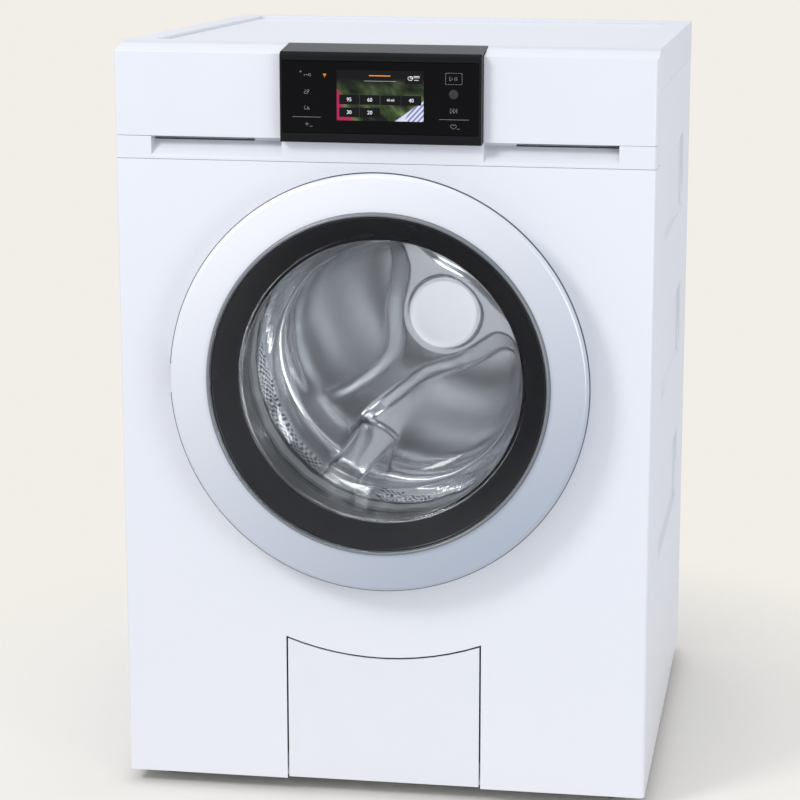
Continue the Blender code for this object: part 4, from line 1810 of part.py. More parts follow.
def make_pump():
    """Pump housing on the base, open at the front for the filter."""
    bore_end = PUMP_FRONT_DEPTH + PUMP_BORE_LENGTH
    housing = turned("pump_housing", [
        (PUMP_BORE, PUMP_FRONT_DEPTH), (PUMP_RADIUS, PUMP_FRONT_DEPTH), (PUMP_RADIUS, PUMP_REAR_DEPTH),
        (0.0, PUMP_REAR_DEPTH), (0.0, bore_end), (PUMP_BORE, bore_end),
    ][3::-1] + [(PUMP_BORE, bore_end), (0.0, bore_end)], "grey_plastic", INNER_STEPS, (PUMP_X, PUMP_Z))
    foot = box(
        "pump_foot", (PUMP_X - PUMP_FOOT_HALF, PUMP_FRONT_DEPTH + BASE_INSET, FEET_GAP + BASE_WALL + GAP),
        (PUMP_X + PUMP_FOOT_HALF, PUMP_REAR_DEPTH, PUMP_Z - PUMP_BORE - BASE_INSET), collection=cutters,
    )
    neck = cylinder(
        "pump_neck", SUMP_HOSE_RADIUS, (SUMP_HOSE_X, PUMP_REAR_DEPTH - OVERRUN, PUMP_Z),
        (SUMP_HOSE_X, PUMP_REAR_DEPTH + OVERRUN, PUMP_Z), steps=FOOT_STEPS, collection=cutters,
    )
    join(housing, foot, neck)
    flange_low = PUMP_FRONT_DEPTH - GAP - FILTER_FLANGE_WALL
    pump_filter = turned("pump_filter", [
        (0.0, flange_low), (FILTER_FLANGE, flange_low), (FILTER_FLANGE, PUMP_FRONT_DEPTH - GAP),
        (FILTER_RADIUS, PUMP_FRONT_DEPTH - GAP), (FILTER_RADIUS, PUMP_FRONT_DEPTH + FILTER_LENGTH),
        (0.0, PUMP_FRONT_DEPTH + FILTER_LENGTH),
    ], "grey_plastic", FILTER_STEPS, (PUMP_X, PUMP_Z))
    grip = box(
        "filter_grip",
        (PUMP_X - FILTER_GRIP_HALF, flange_low - FILTER_GRIP_DEPTH, PUMP_Z - FILTER_GRIP_WALL / 2),
        (PUMP_X + FILTER_GRIP_HALF, flange_low + FILTER_FLANGE_WALL / 2, PUMP_Z + FILTER_GRIP_WALL / 2),
        collection=cutters,
    )
    return housing, join(pump_filter, grip)


def smooth_route(points, spacing_steps):
    """A smooth curve through chosen points, by Catmull-Rom."""
    route = [Vector(p) for p in points]
    ends = [route[0] * 2 - route[1]] + route + [route[-1] * 2 - route[-2]]
    out = []
    for a, b, c, d in zip(ends, ends[1:], ends[2:], ends[3:]):
        for step in range(spacing_steps):
            t = step / spacing_steps
            out.append(tuple(
                (2 * b + (c - a) * t + (2 * a - 5 * b + 4 * c - d) * t ** 2
                 + (3 * b - a - 3 * c + d) * t ** 3) / 2
            ))
    return out + [tuple(route[-1])]


def make_hoses():
    """Sump hose to the pump, drain hose to the rear, dispenser hose and inlet valve with its hose."""
    top_z = SUMP_Z - GAP
    start_depth = PUMP_REAR_DEPTH + OVERRUN + GAP
    bend = SUMP_HOSE_DEPTH - start_depth
    sump_hose = tube("sump_hose", smooth_route([
        (SUMP_HOSE_X, start_depth, PUMP_Z), (SUMP_HOSE_X, start_depth + bend / 6, PUMP_Z),
        (SUMP_HOSE_X, start_depth + bend / 3, PUMP_Z),
        (SUMP_HOSE_X, SUMP_HOSE_DEPTH - bend / 10, PUMP_Z + bend / 3),
        (SUMP_HOSE_X, SUMP_HOSE_DEPTH, PUMP_Z + bend), (SUMP_HOSE_X, SUMP_HOSE_DEPTH, top_z - bend / 6),
        (SUMP_HOSE_X, SUMP_HOSE_DEPTH, top_z),
    ], HOSE_STEPS), SUMP_HOSE_RADIUS, "black_rubber")
    side_x = PUMP_X + PUMP_RADIUS + GAP
    exit_depth = (PUMP_FRONT_DEPTH + PUMP_REAR_DEPTH) / 2
    drain_z = PUMP_Z
    drain = tube("drain_hose", smooth_route([
        (side_x, exit_depth, drain_z), (side_x + DRAIN_RADIUS, exit_depth, drain_z),
        (side_x + 3 * DRAIN_RADIUS, exit_depth, drain_z),
        (DRAIN_X - 2 * DRAIN_RADIUS, exit_depth + 3 * DRAIN_RADIUS, DRAIN_Z),
        (DRAIN_X, exit_depth + 8 * DRAIN_RADIUS, DRAIN_Z),
        (DRAIN_X, (exit_depth + REAR_PANEL_DEPTH) / 2, DRAIN_Z),
        (DRAIN_X, REAR_PANEL_DEPTH - 6 * DRAIN_RADIUS, DRAIN_SPOUT_Z),
        (DRAIN_X, REAR_PANEL_DEPTH - 2 * DRAIN_RADIUS, DRAIN_SPOUT_Z),
        (DRAIN_X, REAR_PANEL_DEPTH + REAR_WALL, DRAIN_SPOUT_Z),
    ], HOSE_STEPS), DRAIN_RADIUS, "black_rubber")
    spout_low = TRAY_LOW_Z - DISPENSER_CLEARANCE - DISPENSER_WALL - SPOUT_HEIGHT
    hose = cylinder(
        "dispenser_hose", SPOUT_RADIUS, (SPOUT_X, SPOUT_DEPTH, HOSE_BOSS_TOP_Z + GAP),
        (SPOUT_X, SPOUT_DEPTH, spout_low - GAP), "black_rubber", FOOT_STEPS,
    )
    bore = cylinder(
        "dispenser_hose_cut", SPOUT_BORE, (SPOUT_X, SPOUT_DEPTH, HOSE_BOSS_TOP_Z - OVERRUN),
        (SPOUT_X, SPOUT_DEPTH, spout_low + OVERRUN), steps=FOOT_STEPS, collection=cutters,
    )
    cut(hose, bore)
    valve = box(
        "inlet_valve", (VALVE_X - VALVE_SIDE, VALVE_DEPTH, VALVE_Z - VALVE_SIDE),
        (VALVE_X + VALVE_SIDE, REAR_PANEL_DEPTH - GAP, VALVE_Z + VALVE_SIDE), "white_plastic",
    )
    nose = cylinder(
        "valve_nose", VALVE_NOSE_RADIUS, (VALVE_X, REAR_PANEL_DEPTH - OVERRUN, VALVE_Z),
        (VALVE_X, DEPTH - BASE_WALL, VALVE_Z), steps=FOOT_STEPS, collection=cutters,
    )
    join(valve, nose)
    mouth = cylinder(
        "valve_mouth_cut", VALVE_NOSE_BORE, (VALVE_X, REAR_PANEL_DEPTH - OVERRUN, VALVE_Z),
        (VALVE_X, DEPTH + OVERRUN, VALVE_Z), steps=FOOT_STEPS, collection=cutters,
    )
    cut(valve, mouth)
    inlet = cylinder(
        "inlet_hose", INLET_RADIUS, (VALVE_X, DISPENSER_REAR_DEPTH + GAP, VALVE_Z),
        (VALVE_X, VALVE_DEPTH + OVERRUN, VALVE_Z), steps=FOOT_STEPS, collection=cutters,
    )
    return sump_hose, drain, hose, join(valve, inlet)


def carry(name, place, carried, holder=None):
    """An empty on a joint's axis that carries the pieces which move about it."""
    empty = bpy.data.objects.new(name, None)
    empty.empty_display_size = EMPTY_SIZE
    pieces.objects.link(empty)
    empty.location = (place[0], depth_y(place[1]), place[2])
    if holder:
        empty.parent = holder
        bpy.context.view_layer.update()
        empty.matrix_parent_inverse = holder.matrix_world.inverted()
    bpy.context.view_layer.update()
    for obj in carried:
        obj.parent = empty
        obj.matrix_parent_inverse = empty.matrix_world.inverted()
    return empty


def main():
    make_front_panel()
    make_grip_strip()
    make_fascia_right()
    make_control_carrier()
    make_display()
    make_control_board()
    make_lid()
    for side in SIDES:
        make_side_panel(side)
    make_rear()
    make_base()
    feet = make_feet()
    drawer_front = make_drawer_front()
    tray, cap = make_drawer()
    make_dispenser()
    skins = make_door_skins()
    glass = make_door_glass()
    back = make_door_back()
    bracket, arm = make_hinge()
    make_door_lock()
    flap = make_flap()
    gasket, clamp = make_gasket()
    tub = [make_tub_front(), make_counterweight(), make_tub_rear(), clamp]
    tub += make_bearings()
    drum = [make_drum_shell()] + make_lifters() + [make_spider()]
    drum += make_shaft_and_pulley()
    motor, rotor, belt = make_drive()
    tub += [motor, belt, make_heater()]
    make_springs()
    make_rail()
    housing, pump_filter = make_pump()
    make_hoses()
    middle_depth = (TUB_SPLIT_DEPTH + TUB_REAR_DEPTH) / 2
    tub_empty = carry("tub_travel", (0.0, middle_depth, DOOR_Z), tub)
    carry("drum_axis", (0.0, DRUM_REAR_DEPTH, DOOR_Z), drum, tub_empty)
    carry("motor_axis", (MOTOR_X, MOTOR_REAR_DEPTH, MOTOR_Z), [rotor], tub_empty)
    carry("door_axis", hinge_point(DOOR_Z), [*skins, glass, back, arm])
    carry("drawer_travel", (TRAY_LEFT_X, 0.0, TRAY_LOW_Z), [drawer_front, tray, cap])
    carry("flap_axis", (0.0, FLAP_AXIS_DEPTH, FEET_GAP + FLAP_AXIS_LIFT), [flap])
    carry("filter_axis", (PUMP_X, PUMP_FRONT_DEPTH, PUMP_Z), [pump_filter])
    for foot, (x, depth) in zip(feet, foot_places()):
        carry(foot.name + "_axis", (x, depth, 0.0), [foot])


main()
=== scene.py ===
import json
import math

import bmesh
import bpy
from mathutils import Matrix, Vector


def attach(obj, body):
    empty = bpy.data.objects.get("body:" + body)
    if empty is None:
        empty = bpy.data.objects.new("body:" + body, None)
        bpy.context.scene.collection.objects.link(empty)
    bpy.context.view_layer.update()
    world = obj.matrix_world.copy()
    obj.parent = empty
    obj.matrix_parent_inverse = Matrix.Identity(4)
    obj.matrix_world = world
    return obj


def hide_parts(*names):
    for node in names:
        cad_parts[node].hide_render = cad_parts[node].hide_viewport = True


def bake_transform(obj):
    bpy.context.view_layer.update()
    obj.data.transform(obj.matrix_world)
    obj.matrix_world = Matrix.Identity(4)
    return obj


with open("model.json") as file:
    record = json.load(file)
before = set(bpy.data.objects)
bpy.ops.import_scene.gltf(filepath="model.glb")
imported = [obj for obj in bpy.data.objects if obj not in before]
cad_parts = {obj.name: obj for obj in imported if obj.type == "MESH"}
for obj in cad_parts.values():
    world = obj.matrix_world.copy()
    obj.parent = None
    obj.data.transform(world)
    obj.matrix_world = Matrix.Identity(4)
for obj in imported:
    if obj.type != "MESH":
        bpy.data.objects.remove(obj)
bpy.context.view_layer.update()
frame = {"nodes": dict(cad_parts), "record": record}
nodes = frame["nodes"]

machine = {
    "frontY": -0.2805,      # face of the front panel
    "halfWidth": 0.2975,
    "doorHeight": 0.4846,   # middle of the door above the floor
}


# camera, lamps and floor
cameraSet = {
    "place": (0.4720, -2.7900, 1.0140), "nearest": 0.05, "furthest": 60,
    "yaw": -7.85, "pitch": -11.22, "roll": -0.42,   # degrees
    "lens": 106.4, "sensor": 36,   # millimetres
    "shift": (-0.12, -0.05),
}

studio = {
    "floorSize": 3.6, "floorSunk": 0.0002, "floorFade": (0.38, 0.80),
    "floorColour": (0.89, 0.86, 0.80),
    "backdrop": (0.887, 0.861, 0.807),                     # seen behind the machine
    "skyColour": (0.88, 0.895, 0.95), "skyPower": 0.80,     # what lights it all round
}

# each lamp's size, power in watts, place, colour and the point it faces
lamps = {
    "key": ((0.9, 0.9), 41, (-1.7, -2.2, 2.5), (0.97, 0.98, 1.0), (0, 0, 0.45)),
    "fill": ((0.8, 1.0), 8, (1.5, -1.7, 0.7), (0.90, 0.95, 1.0), (0.2, 0, 0.35)),
    "top": ((1.2, 1.2), 9, (0.2, 0.3, 2.7), (0.95, 0.97, 1.0), (0, 0, 0.45)),
    "drum": ((0.22, 0.03), 0.85, (-0.02, -0.150, 0.687), (0.93, 0.96, 1.0), (0, 0.12, 0.42)),
    "wall": ((0.03, 0.16), 0.45, (0.203, -0.150, 0.50), (0.93, 0.96, 1.0), (-0.2, 0.06, 0.42)),
}


def deselect():
    if bpy.context.mode != "OBJECT":
        bpy.ops.object.mode_set(mode="OBJECT")
    bpy.ops.object.select_all(action="DESELECT")


def pick(*pieces):
    # only these are selected, and the first is active
    deselect()
    for piece in pieces:
        piece.select_set(True)
    bpy.context.view_layer.objects.active = pieces[0]


def openAll():
    # edit mode, with all of the active piece selected
    bpy.ops.object.mode_set(mode="EDIT")
    bpy.ops.mesh.select_all(action="SELECT")


def applyPlace():
    bpy.ops.object.transform_apply(location=True, rotation=True, scale=True)


facing = (math.pi / 2, 0, 0)      # turns a round or flat primitive to the front


def newPiece(name):
    # the primitive just added, named, with its place put into its mesh
    piece = bpy.context.object
    piece.name = piece.data.name = name
    applyPlace()
    return piece


def addCamera():
    bpy.ops.object.camera_add(location=cameraSet["place"])
    camera = bpy.context.object
    camera.name = "photoCamera"
    turn = (Matrix.Rotation(math.radians(-cameraSet["yaw"]), 4, "Z")
            @ Matrix.Rotation(math.radians(90 + cameraSet["pitch"]), 4, "X")
            @ Matrix.Rotation(math.radians(-cameraSet["roll"]), 4, "Z"))
    camera.rotation_euler = turn.to_euler()
    camera.data.sensor_width = cameraSet["sensor"]
    camera.data.lens = cameraSet["lens"]
    camera.data.shift_x, camera.data.shift_y = cameraSet["shift"]
    camera.data.clip_start, camera.data.clip_end = cameraSet["nearest"], cameraSet["furthest"]
    bpy.context.scene.camera = camera


def addLamp(name):
    size, power, place, colour, aim = lamps[name]
    bpy.ops.object.light_add(type="AREA", location=place)
    lamp = bpy.context.object
    lamp.name = name + "Lamp"
    lamp.data.shape = "RECTANGLE"
    lamp.data.size, lamp.data.size_y = size
    lamp.data.energy, lamp.data.color = power, colour
    lamp.rotation_euler = (Vector(aim) - Vector(place)).to_track_quat("-Z", "Y").to_euler()


def addStudio():
    world = bpy.data.worlds.new("paleStudio")
    bpy.context.scene.world = world
    world.use_nodes = True
    tree = world.node_tree
    sky = tree.nodes["Background"]
    sky.inputs["Color"].default_value = (*studio["skyColour"], 1)
    sky.inputs["Strength"].default_value = studio["skyPower"]
    backdrop = tree.nodes.new("ShaderNodeBackground")
    backdrop.inputs["Color"].default_value = (*studio["backdrop"], 1)
    seen, either = tree.nodes.new("ShaderNodeLightPath"), tree.nodes.new("ShaderNodeMixShader")
    tree.links.new(seen.outputs["Is Camera Ray"], either.inputs[0])
    tree.links.new(sky.outputs[0], either.inputs[1])
    tree.links.new(backdrop.outputs[0], either.inputs[2])
    tree.links.new(either.outputs[0], tree.nodes["World Output"].inputs["Surface"])
    for name in lamps:
        addLamp(name)
    deselect()
    bpy.ops.mesh.primitive_plane_add(size=studio["floorSize"], location=(0, 0, -studio["floorSunk"]))
    floor = newPiece("studioFloor")
    return floor


addCamera()
studioFloor = addStudio()
deselect()
bpy.context.scene.view_settings.view_transform = "Standard"
bpy.context.scene.view_settings.look = "None"
print("camera and lamps are up")


# shader nodes written as sums
class Wire:
    # one output of a shader node; sums on it add Math nodes
    def __init__(self, finish, socket):
        self.finish, self.socket = finish, socket

    def __add__(self, other): return self.finish.maths("ADD", self, other)
    def __radd__(self, other): return self.finish.maths("ADD", other, self)
    def __sub__(self, other): return self.finish.maths("SUBTRACT", self, other)
    def __rsub__(self, other): return self.finish.maths("SUBTRACT", other, self)
    def __mul__(self, other): return self.finish.maths("MULTIPLY", self, other)
    def __rmul__(self, other): return self.finish.maths("MULTIPLY", other, self)
    def __truediv__(self, other): return self.finish.maths("DIVIDE", self, other)
    def __gt__(self, other): return self.finish.maths("GREATER_THAN", self, other)
    def __lt__(self, other): return self.finish.maths("LESS_THAN", self, other)
    def wave(self): return self.finish.maths("SINE", self)
    def size(self): return self.finish.maths("ABSOLUTE", self)
    def part(self): return self.finish.maths("FRACT", self)
    def least(self, other): return self.finish.maths("MINIMUM", self, other)
    def most(self, other): return self.finish.maths("MAXIMUM", self, other)
    def root(self): return self.finish.maths("SQRT", self)


class Finish:
    # one material: a Principled shader and the nodes that feed it
    def __init__(self, name, colour, rough, metal=0.0, **fixed):
        self.material = bpy.data.materials.new(name)
        self.material.use_nodes = True
        self.tree = self.material.node_tree
        self.shader = self.tree.nodes["Principled BSDF"]
        self.set("Base Color", colour)
        self.set("Roughness", rough)
        self.set("Metallic", metal)
        for key, value in fixed.items():
            self.set(key.replace("_", " "), value)
        self.place = self.node("ShaderNodeTexCoord", {}, {}, "Object")
        self.x, self.y, self.z = self.split(self.place)

    def feed(self, socket, value):
        # a link, a colour or a plain number into one socket
        if isinstance(value, Wire):
            self.tree.links.new(value.socket, socket)
        elif isinstance(value, tuple) and socket.type == "RGBA":
            socket.default_value = (*value[:3], 1)
        else:
            socket.default_value = value

    def set(self, key, value):
        self.feed(self.shader.inputs[key], value)

    def node(self, kind, settings, sockets, out=0):
        made = self.tree.nodes.new(kind)
        for key, value in settings.items():
            if key == "stops":
                ramp = made.color_ramp
                while len(ramp.elements) < len(value):
                    ramp.elements.new(0.5)
                for element, (where, colour) in zip(ramp.elements, value):
                    element.position, element.color = where, (*colour, 1)
            else:
                setattr(made, key, value)
        for key, value in sockets.items():
            self.feed(made.inputs[key], value)
        return Wire(self, made.outputs[out])

    def maths(self, operation, a, b=None):
        sockets = {0: a} if b is None else {0: a, 1: b}
        return self.node("ShaderNodeMath", {"operation": operation}, sockets)

    def split(self, vector):
        made = self.tree.nodes.new("ShaderNodeSeparateXYZ")
        self.tree.links.new(vector.socket, made.inputs[0])
        return [Wire(self, made.outputs[i]) for i in range(3)]

    def join(self, x, y, z):
        return self.node("ShaderNodeCombineXYZ", {}, {0: x, 1: y, 2: z})

    def noise(self, scale, detail, vector=None):
        return self.node("ShaderNodeTexNoise", {}, {"Vector": vector or self.place, "Scale": scale, "Detail": detail})

    def cells(self, scale, out="Distance"):
        return self.node("ShaderNodeTexVoronoi", {}, {"Vector": self.place, "Scale": scale}, out)

    def ramp(self, value, *stops):
        return self.node("ShaderNodeValToRGB", {"stops": stops}, {0: value})

    def stretch(self, value, low, high, newLow=0.0, newHigh=1.0):
        return self.node("ShaderNodeMapRange", {"clamp": True}, {0: value, 1: low, 2: high, 3: newLow, 4: newHigh})

    def mix(self, share, a, b):
        return self.node("ShaderNodeMix", {"data_type": "RGBA"}, {0: share, 6: a, 7: b}, 2)

    def bump(self, height, distance, strength):
        return self.node("ShaderNodeBump", {}, {"Height": height, "Distance": distance, "Strength": strength})

    def cover(self, colour, rough, height=None, depth=0.0, strength=0.0):
        # what changes over the surface: colour, gloss and relief
        self.set("Base Color", colour)
        self.set("Roughness", rough)
        if height is not None:
            self.set("Normal", self.bump(height, depth, strength))
        return self.material

    def polar(self, middleX, middleZ):
        # angle round the Y axis and distance from it
        across, up = self.x - middleX, self.z - middleZ
        angle = self.maths("ARCTAN2", up, across)
        return angle, (across * across + up * up).root()

    def turned(self, around, outward, detail=3, along=0.0):
        # streaks that run round the door's axis
        angle, reach = self.polar(*paint["door"])
        return self.noise(1.0, detail, self.join(angle * around, reach * outward, along))

    def scaled(self, *share):
        # the place, drawn out along its axes
        return self.node("ShaderNodeMapping", {}, {0: self.place, 3: share})


# finishes, one for each material slot of the record
paint = {
    "enamel": (0.815, 0.83, 0.87), "plastic": (0.805, 0.82, 0.86),
    "peelScale": 420, "peelDepth": 0.00006, "grainScale": 2400, "grainDepth": 0.00003,
    "door": (0.0, machine["doorHeight"]),       # x and z of the door's axis
    "holePitch": 0.0086, "holePitchDeep": 0.0150, "hole": 0.0027,
    "wall": 0.238, "wallFront": -0.1480, "wallRear": 0.1380, "hub": 0.0460,
}


def shade(colour, share):
    return tuple(c * share for c in colour)


def enamelFinish():
    # baked powder coat: a faint orange peel and slow changes of gloss
    tone = paint["enamel"]
    f = Finish("whiteEnamel", tone, 0.3, Coat_Weight=0.25, Coat_Roughness=0.12)
    slow, fine = f.noise(5.5, 3), f.noise(160, 2)
    return f.cover(f.mix(slow * 0.5, tone, shade(tone, 0.975)), 0.24 + slow * 0.08 + fine * 0.05,
                   f.noise(paint["peelScale"], 2), paint["peelDepth"], 0.6)


def plasticFinish(name, colour, rough, scale=paint["grainScale"], depth=paint["grainDepth"], gloss=0.0):
    # moulded plastic: a fine spark grain, a little uneven in tone
    f = Finish(name, colour, rough, Coat_Weight=gloss, Coat_Roughness=0.08)
    slow, grain = f.noise(14, 3), f.noise(scale, 2)
    return f.cover(f.mix(slow * 0.6, colour, shade(colour, 0.94)), slow * 0.08 + grain * 0.06 + (rough - 0.06),
                   grain, depth, 0.5)


def glossBlackFinish():
    # polished black panel with faint wiping marks
    f = Finish("polishedBlack", (0.006, 0.006, 0.0075), 0.05, Coat_Weight=0.6, Coat_Roughness=0.02)
    marks = f.noise(9, 4, f.scaled(1, 1, 4))
    return f.cover(f.mix(f.stretch(marks, 0.4, 0.8), (0.005, 0.005, 0.0065), (0.010, 0.010, 0.012)),
                   f.stretch(marks, 0.35, 0.75, 0.035, 0.10))


def metalFinish(name, colour, rough, scale=260, depth=0.00002):
    # machined or cast metal: a cloudy tone and small pits
    f = Finish(name, colour, rough, 1.0)
    pits, cloud = f.noise(scale, 4), f.noise(11, 3)
    return f.cover(f.mix(cloud * 0.8, colour, shade(colour, 0.88)), pits * 0.16 + cloud * 0.08 + (rough - 0.1),
                   pits, depth, 0.6)


def galvanisedFinish():
    # zinc coat with its spangle
    f = Finish("zincSpangle", (0.56, 0.58, 0.6), 0.42, 0.9)
    tone = f.split(f.cells(170, "Color"))[0]
    return f.cover(f.mix(tone, (0.50, 0.52, 0.54), (0.66, 0.68, 0.70)), 0.34 + tone * 0.16 + f.noise(30, 3) * 0.06,
                   tone + f.noise(600, 2) * 0.3, 0.00002, 0.6)


def rubberFinish(name, colour, rough=0.55):
    # moulded rubber: matt, with a bloom of lighter dust
    f = Finish(name, colour, rough)
    bloom, grain = f.noise(22, 4), f.noise(900, 3)
    dusty = tuple(min(c * 1.5 + 0.01, 1) for c in colour)
    return f.cover(f.mix(f.stretch(bloom, 0.4, 0.75, 0, 0.5), colour, dusty), bloom * 0.14 + (rough - 0.05),
                   grain, 0.00005, 0.6)


def concreteFinish():
    # cast weight: stones, slow clouds and open pores
    f = Finish("castConcrete", (0.44, 0.43, 0.41), 0.85)
    stones, pores, slow = f.cells(120), f.stretch(f.cells(420), 0.0, 0.22, 1, 0), f.noise(9, 5)
    return f.cover(f.mix(stones * 0.6 + slow * 0.4, (0.36, 0.35, 0.33), (0.52, 0.51, 0.49)), 0.78 + slow * 0.14,
                   f.noise(260, 5) - pores * 0.6, 0.0006, 0.7)


def boardFinish():
    # green solder mask with its tracks
    f = Finish("solderMask", (0.02, 0.16, 0.07), 0.35, Coat_Weight=0.4)
    tracks = ((f.x * 900).wave().size() > 0.93).most((f.z * 700 + f.noise(40, 1) * 6).wave().size() > 0.95)
    return f.cover(f.mix(tracks, (0.015, 0.13, 0.055), (0.05, 0.26, 0.12)), 0.3 + f.noise(300, 2) * 0.1,
                   tracks, 0.00003, 0.6)


def silverFinish():
    # satin anodised ring, brushed round its own middle; painted shade makes it a little bluer and darker to the lower
    # right, and a painted highlight makes it near white to the upper left
    f = Finish("satinSilver", (0.60, 0.66, 0.76), 0.34, 0.4, Coat_Weight=0.15, Coat_Roughness=0.2)
    brushed = f.turned(26, 2600)
    # painted light and shade: low runs from the lit upper left (near white) to the shaded lower right (darker, bluer)
    low = f.stretch(f.x * 0.50 - f.z * 0.85, -0.62, -0.20)
    return f.cover(f.mix(low, (0.96, 0.97, 1.0), (0.48, 0.53, 0.61)), 0.30 + brushed * 0.10, brushed, 0.000012, 0.5)


def rimFinish():
    # satin grey metal, brushed as the ring is
    f = Finish("satinGrey", (0.24, 0.255, 0.27), 0.34, 0.6)
    brushed = f.turned(30, 3000)
    return f.cover(f.mix(brushed, (0.21, 0.225, 0.24), (0.29, 0.305, 0.32)), 0.27 + brushed * 0.14)


def coneFinish():
    # the funnel between rim and glass: dark, half gloss
    f = Finish("darkFunnel", (0.014, 0.0145, 0.016), 0.3, 0.0, Specular_IOR_Level=0.3)
    slow = f.turned(1.5, 30, 2)
    return f.cover(f.mix(slow, (0.011, 0.0115, 0.013), (0.022, 0.022, 0.024)), 0.2 + slow * 0.12)


def glassFinish():
    # pressed glass with a slight ripple
    tone = (0.97, 0.985, 0.985)
    f = Finish("pressedGlass", tone, 0.0, 0.0, Transmission_Weight=1.0, IOR=1.35)
    ripple = f.noise(16, 2)
    return f.cover(tone, f.stretch(ripple, 0.3, 0.8, 0.0, 0.012), ripple, 0.0016, 0.35)


def drumFinish():
    # bright stainless sheet; staggered rows of small round holes in the wall; a painted highlight on the hub in the
    # middle
    f = Finish("perforatedStainless", (0.84, 0.84, 0.855), 0.16, 1.0)
    pitch, pitchDeep, hole = paint["holePitch"], paint["holePitchDeep"], paint["hole"]
    angle, reach = f.polar(*paint["door"])
    depth = f.y

    def grid(u, v):
        # distance from the nearest hole's middle in one square grid
        du, dv = (u.part() - 0.5) * pitch, (v.part() - 0.5) * pitchDeep * 0.6
        return (du * du + dv * dv).root()
    u, v = angle * paint["wall"] / pitch, depth / pitchDeep
    away = grid(u, v).least(grid(u + 0.5, v + 0.5))
    front, rear = paint["wallFront"], paint["wallRear"]
    onWall = f.stretch(reach, paint["wall"], paint["wall"] + 0.0005)
    # painted highlight: the raised hub is painted near white and half metal to stand in for the bright spot in the
    # middle
    hubHighlight = f.stretch(reach, paint["hub"] + 0.001, paint["hub"] - 0.001)      # the pale disc in the middle
    field = onWall * (f.stretch(depth, front, front + 0.001) * f.stretch(depth, rear, rear - 0.001))
    inside = f.stretch(away, hole, hole * 0.78) * field
    dimple = f.stretch(away, hole * 1.9, hole) * field
    brushed = f.turned(18, 900, 3, depth * 700)
    # the wall is given a darker tone than the back plate; the hub is painted near white as a painted highlight
    sheet = f.mix(hubHighlight, f.mix(onWall, (0.64, 0.645, 0.665), (0.56, 0.57, 0.59)), (0.95, 0.95, 0.96))
    f.set("Metallic", (1 - inside) * (1 - hubHighlight * 0.5))
    return f.cover(f.mix(inside, sheet, (0.03, 0.03, 0.034)), 0.10 + brushed * 0.12 + onWall * 0.16 + inside * 0.4,
                   brushed * 0.04 - dimple, 0.0004, 0.7)


def polishedFinish(name, rough):
    # bright rolled sheet, drawn out along the depth
    tone = (0.83, 0.835, 0.85)
    f = Finish(name, tone, rough, 1.0)
    slow, fine = f.noise(8, 3), f.noise(500, 3, f.scaled(1, 0.08, 1))
    return f.cover(f.mix(slow, tone, shade(tone, 0.93)), slow * 0.05 + fine * 0.07 + (rough - 0.04),
                   fine, 0.00002, 0.4)


finishes = {
    "white_paint": enamelFinish(),
    "white_plastic": plasticFinish("satinWhitePlastic", paint["plastic"], 0.3, gloss=0.2),
    "black_gloss": glossBlackFinish(),
    "screen": glossBlackFinish(),
    "circuit_board": boardFinish(),
    "silver_trim": silverFinish(),
    "grey_trim": rimFinish(),
    "clear_glass": glassFinish(),
    "grey_plastic": plasticFinish("greyMoulding", (0.30, 0.31, 0.325), 0.42),
    "tub_plastic": plasticFinish("filledPolymer", (0.46, 0.47, 0.475), 0.5, 900, 0.00008),
    "galvanised": galvanisedFinish(),
    "steel": metalFinish("machinedSteel", (0.46, 0.47, 0.48), 0.36),
    "stainless": polishedFinish("polishedStainless", 0.12),
    "cast_aluminium": metalFinish("castAluminium", (0.60, 0.61, 0.62), 0.5, 700, 0.00012),
    "concrete": concreteFinish(),
    "grey_rubber": rubberFinish("greyRubber", (0.14, 0.14, 0.145), 0.5),
    "black_rubber": rubberFinish("blackRubber", (0.018, 0.018, 0.018)),
    "black_plastic": plasticFinish("blackMoulding", (0.02, 0.02, 0.022), 0.4),
}
slotOf = {sub["node"]: sub["material_slot"] for sub in frame["record"]["subparts"]}


def dress(piece, material):
    piece.data.materials.clear()
    piece.data.materials.append(material)


for name, node in nodes.items():
    dress(node, finishes[slotOf[name]])

# pale paper that fades into the backdrop, so that no horizon shows
paper, tone = Finish("studioPaper", studio["floorColour"], 0.95, Specular_IOR_Level=0.1), studio["floorColour"]
away = (paper.x * paper.x + paper.y * paper.y).root()
paper.set("Base Color", paper.mix(paper.noise(2.5, 3) * 0.3, tone, shade(tone, 0.98)))
paper.set("Alpha", paper.stretch(away, *studio["floorFade"], 1, 0))
dress(studioFloor, paper.material)
print("finishes: %d, one for each slot" % len(finishes))


# modelling helpers; depth is counted rearwards from the front panel
def depthY(depth):
    return machine["frontY"] + depth


def roundCorners(points, radius, steps):
    # a line of points with each inner corner turned into an arc
    made = [points[0]]
    for before, corner, after in zip(points, points[1:], points[2:]):
        a, b = Vector(before) - Vector(corner), Vector(after) - Vector(corner)
        reach, tip = min(radius, a.length * 0.45, b.length * 0.45), Vector(corner)
        start, end = tip + a.normalized() * reach, tip + b.normalized() * reach
        for t in (i / steps for i in range(steps + 1)):
            made.append(tuple(start * (1 - t) ** 2 + tip * 2 * t * (1 - t) + end * t * t))
    made.append(points[-1])
    return made


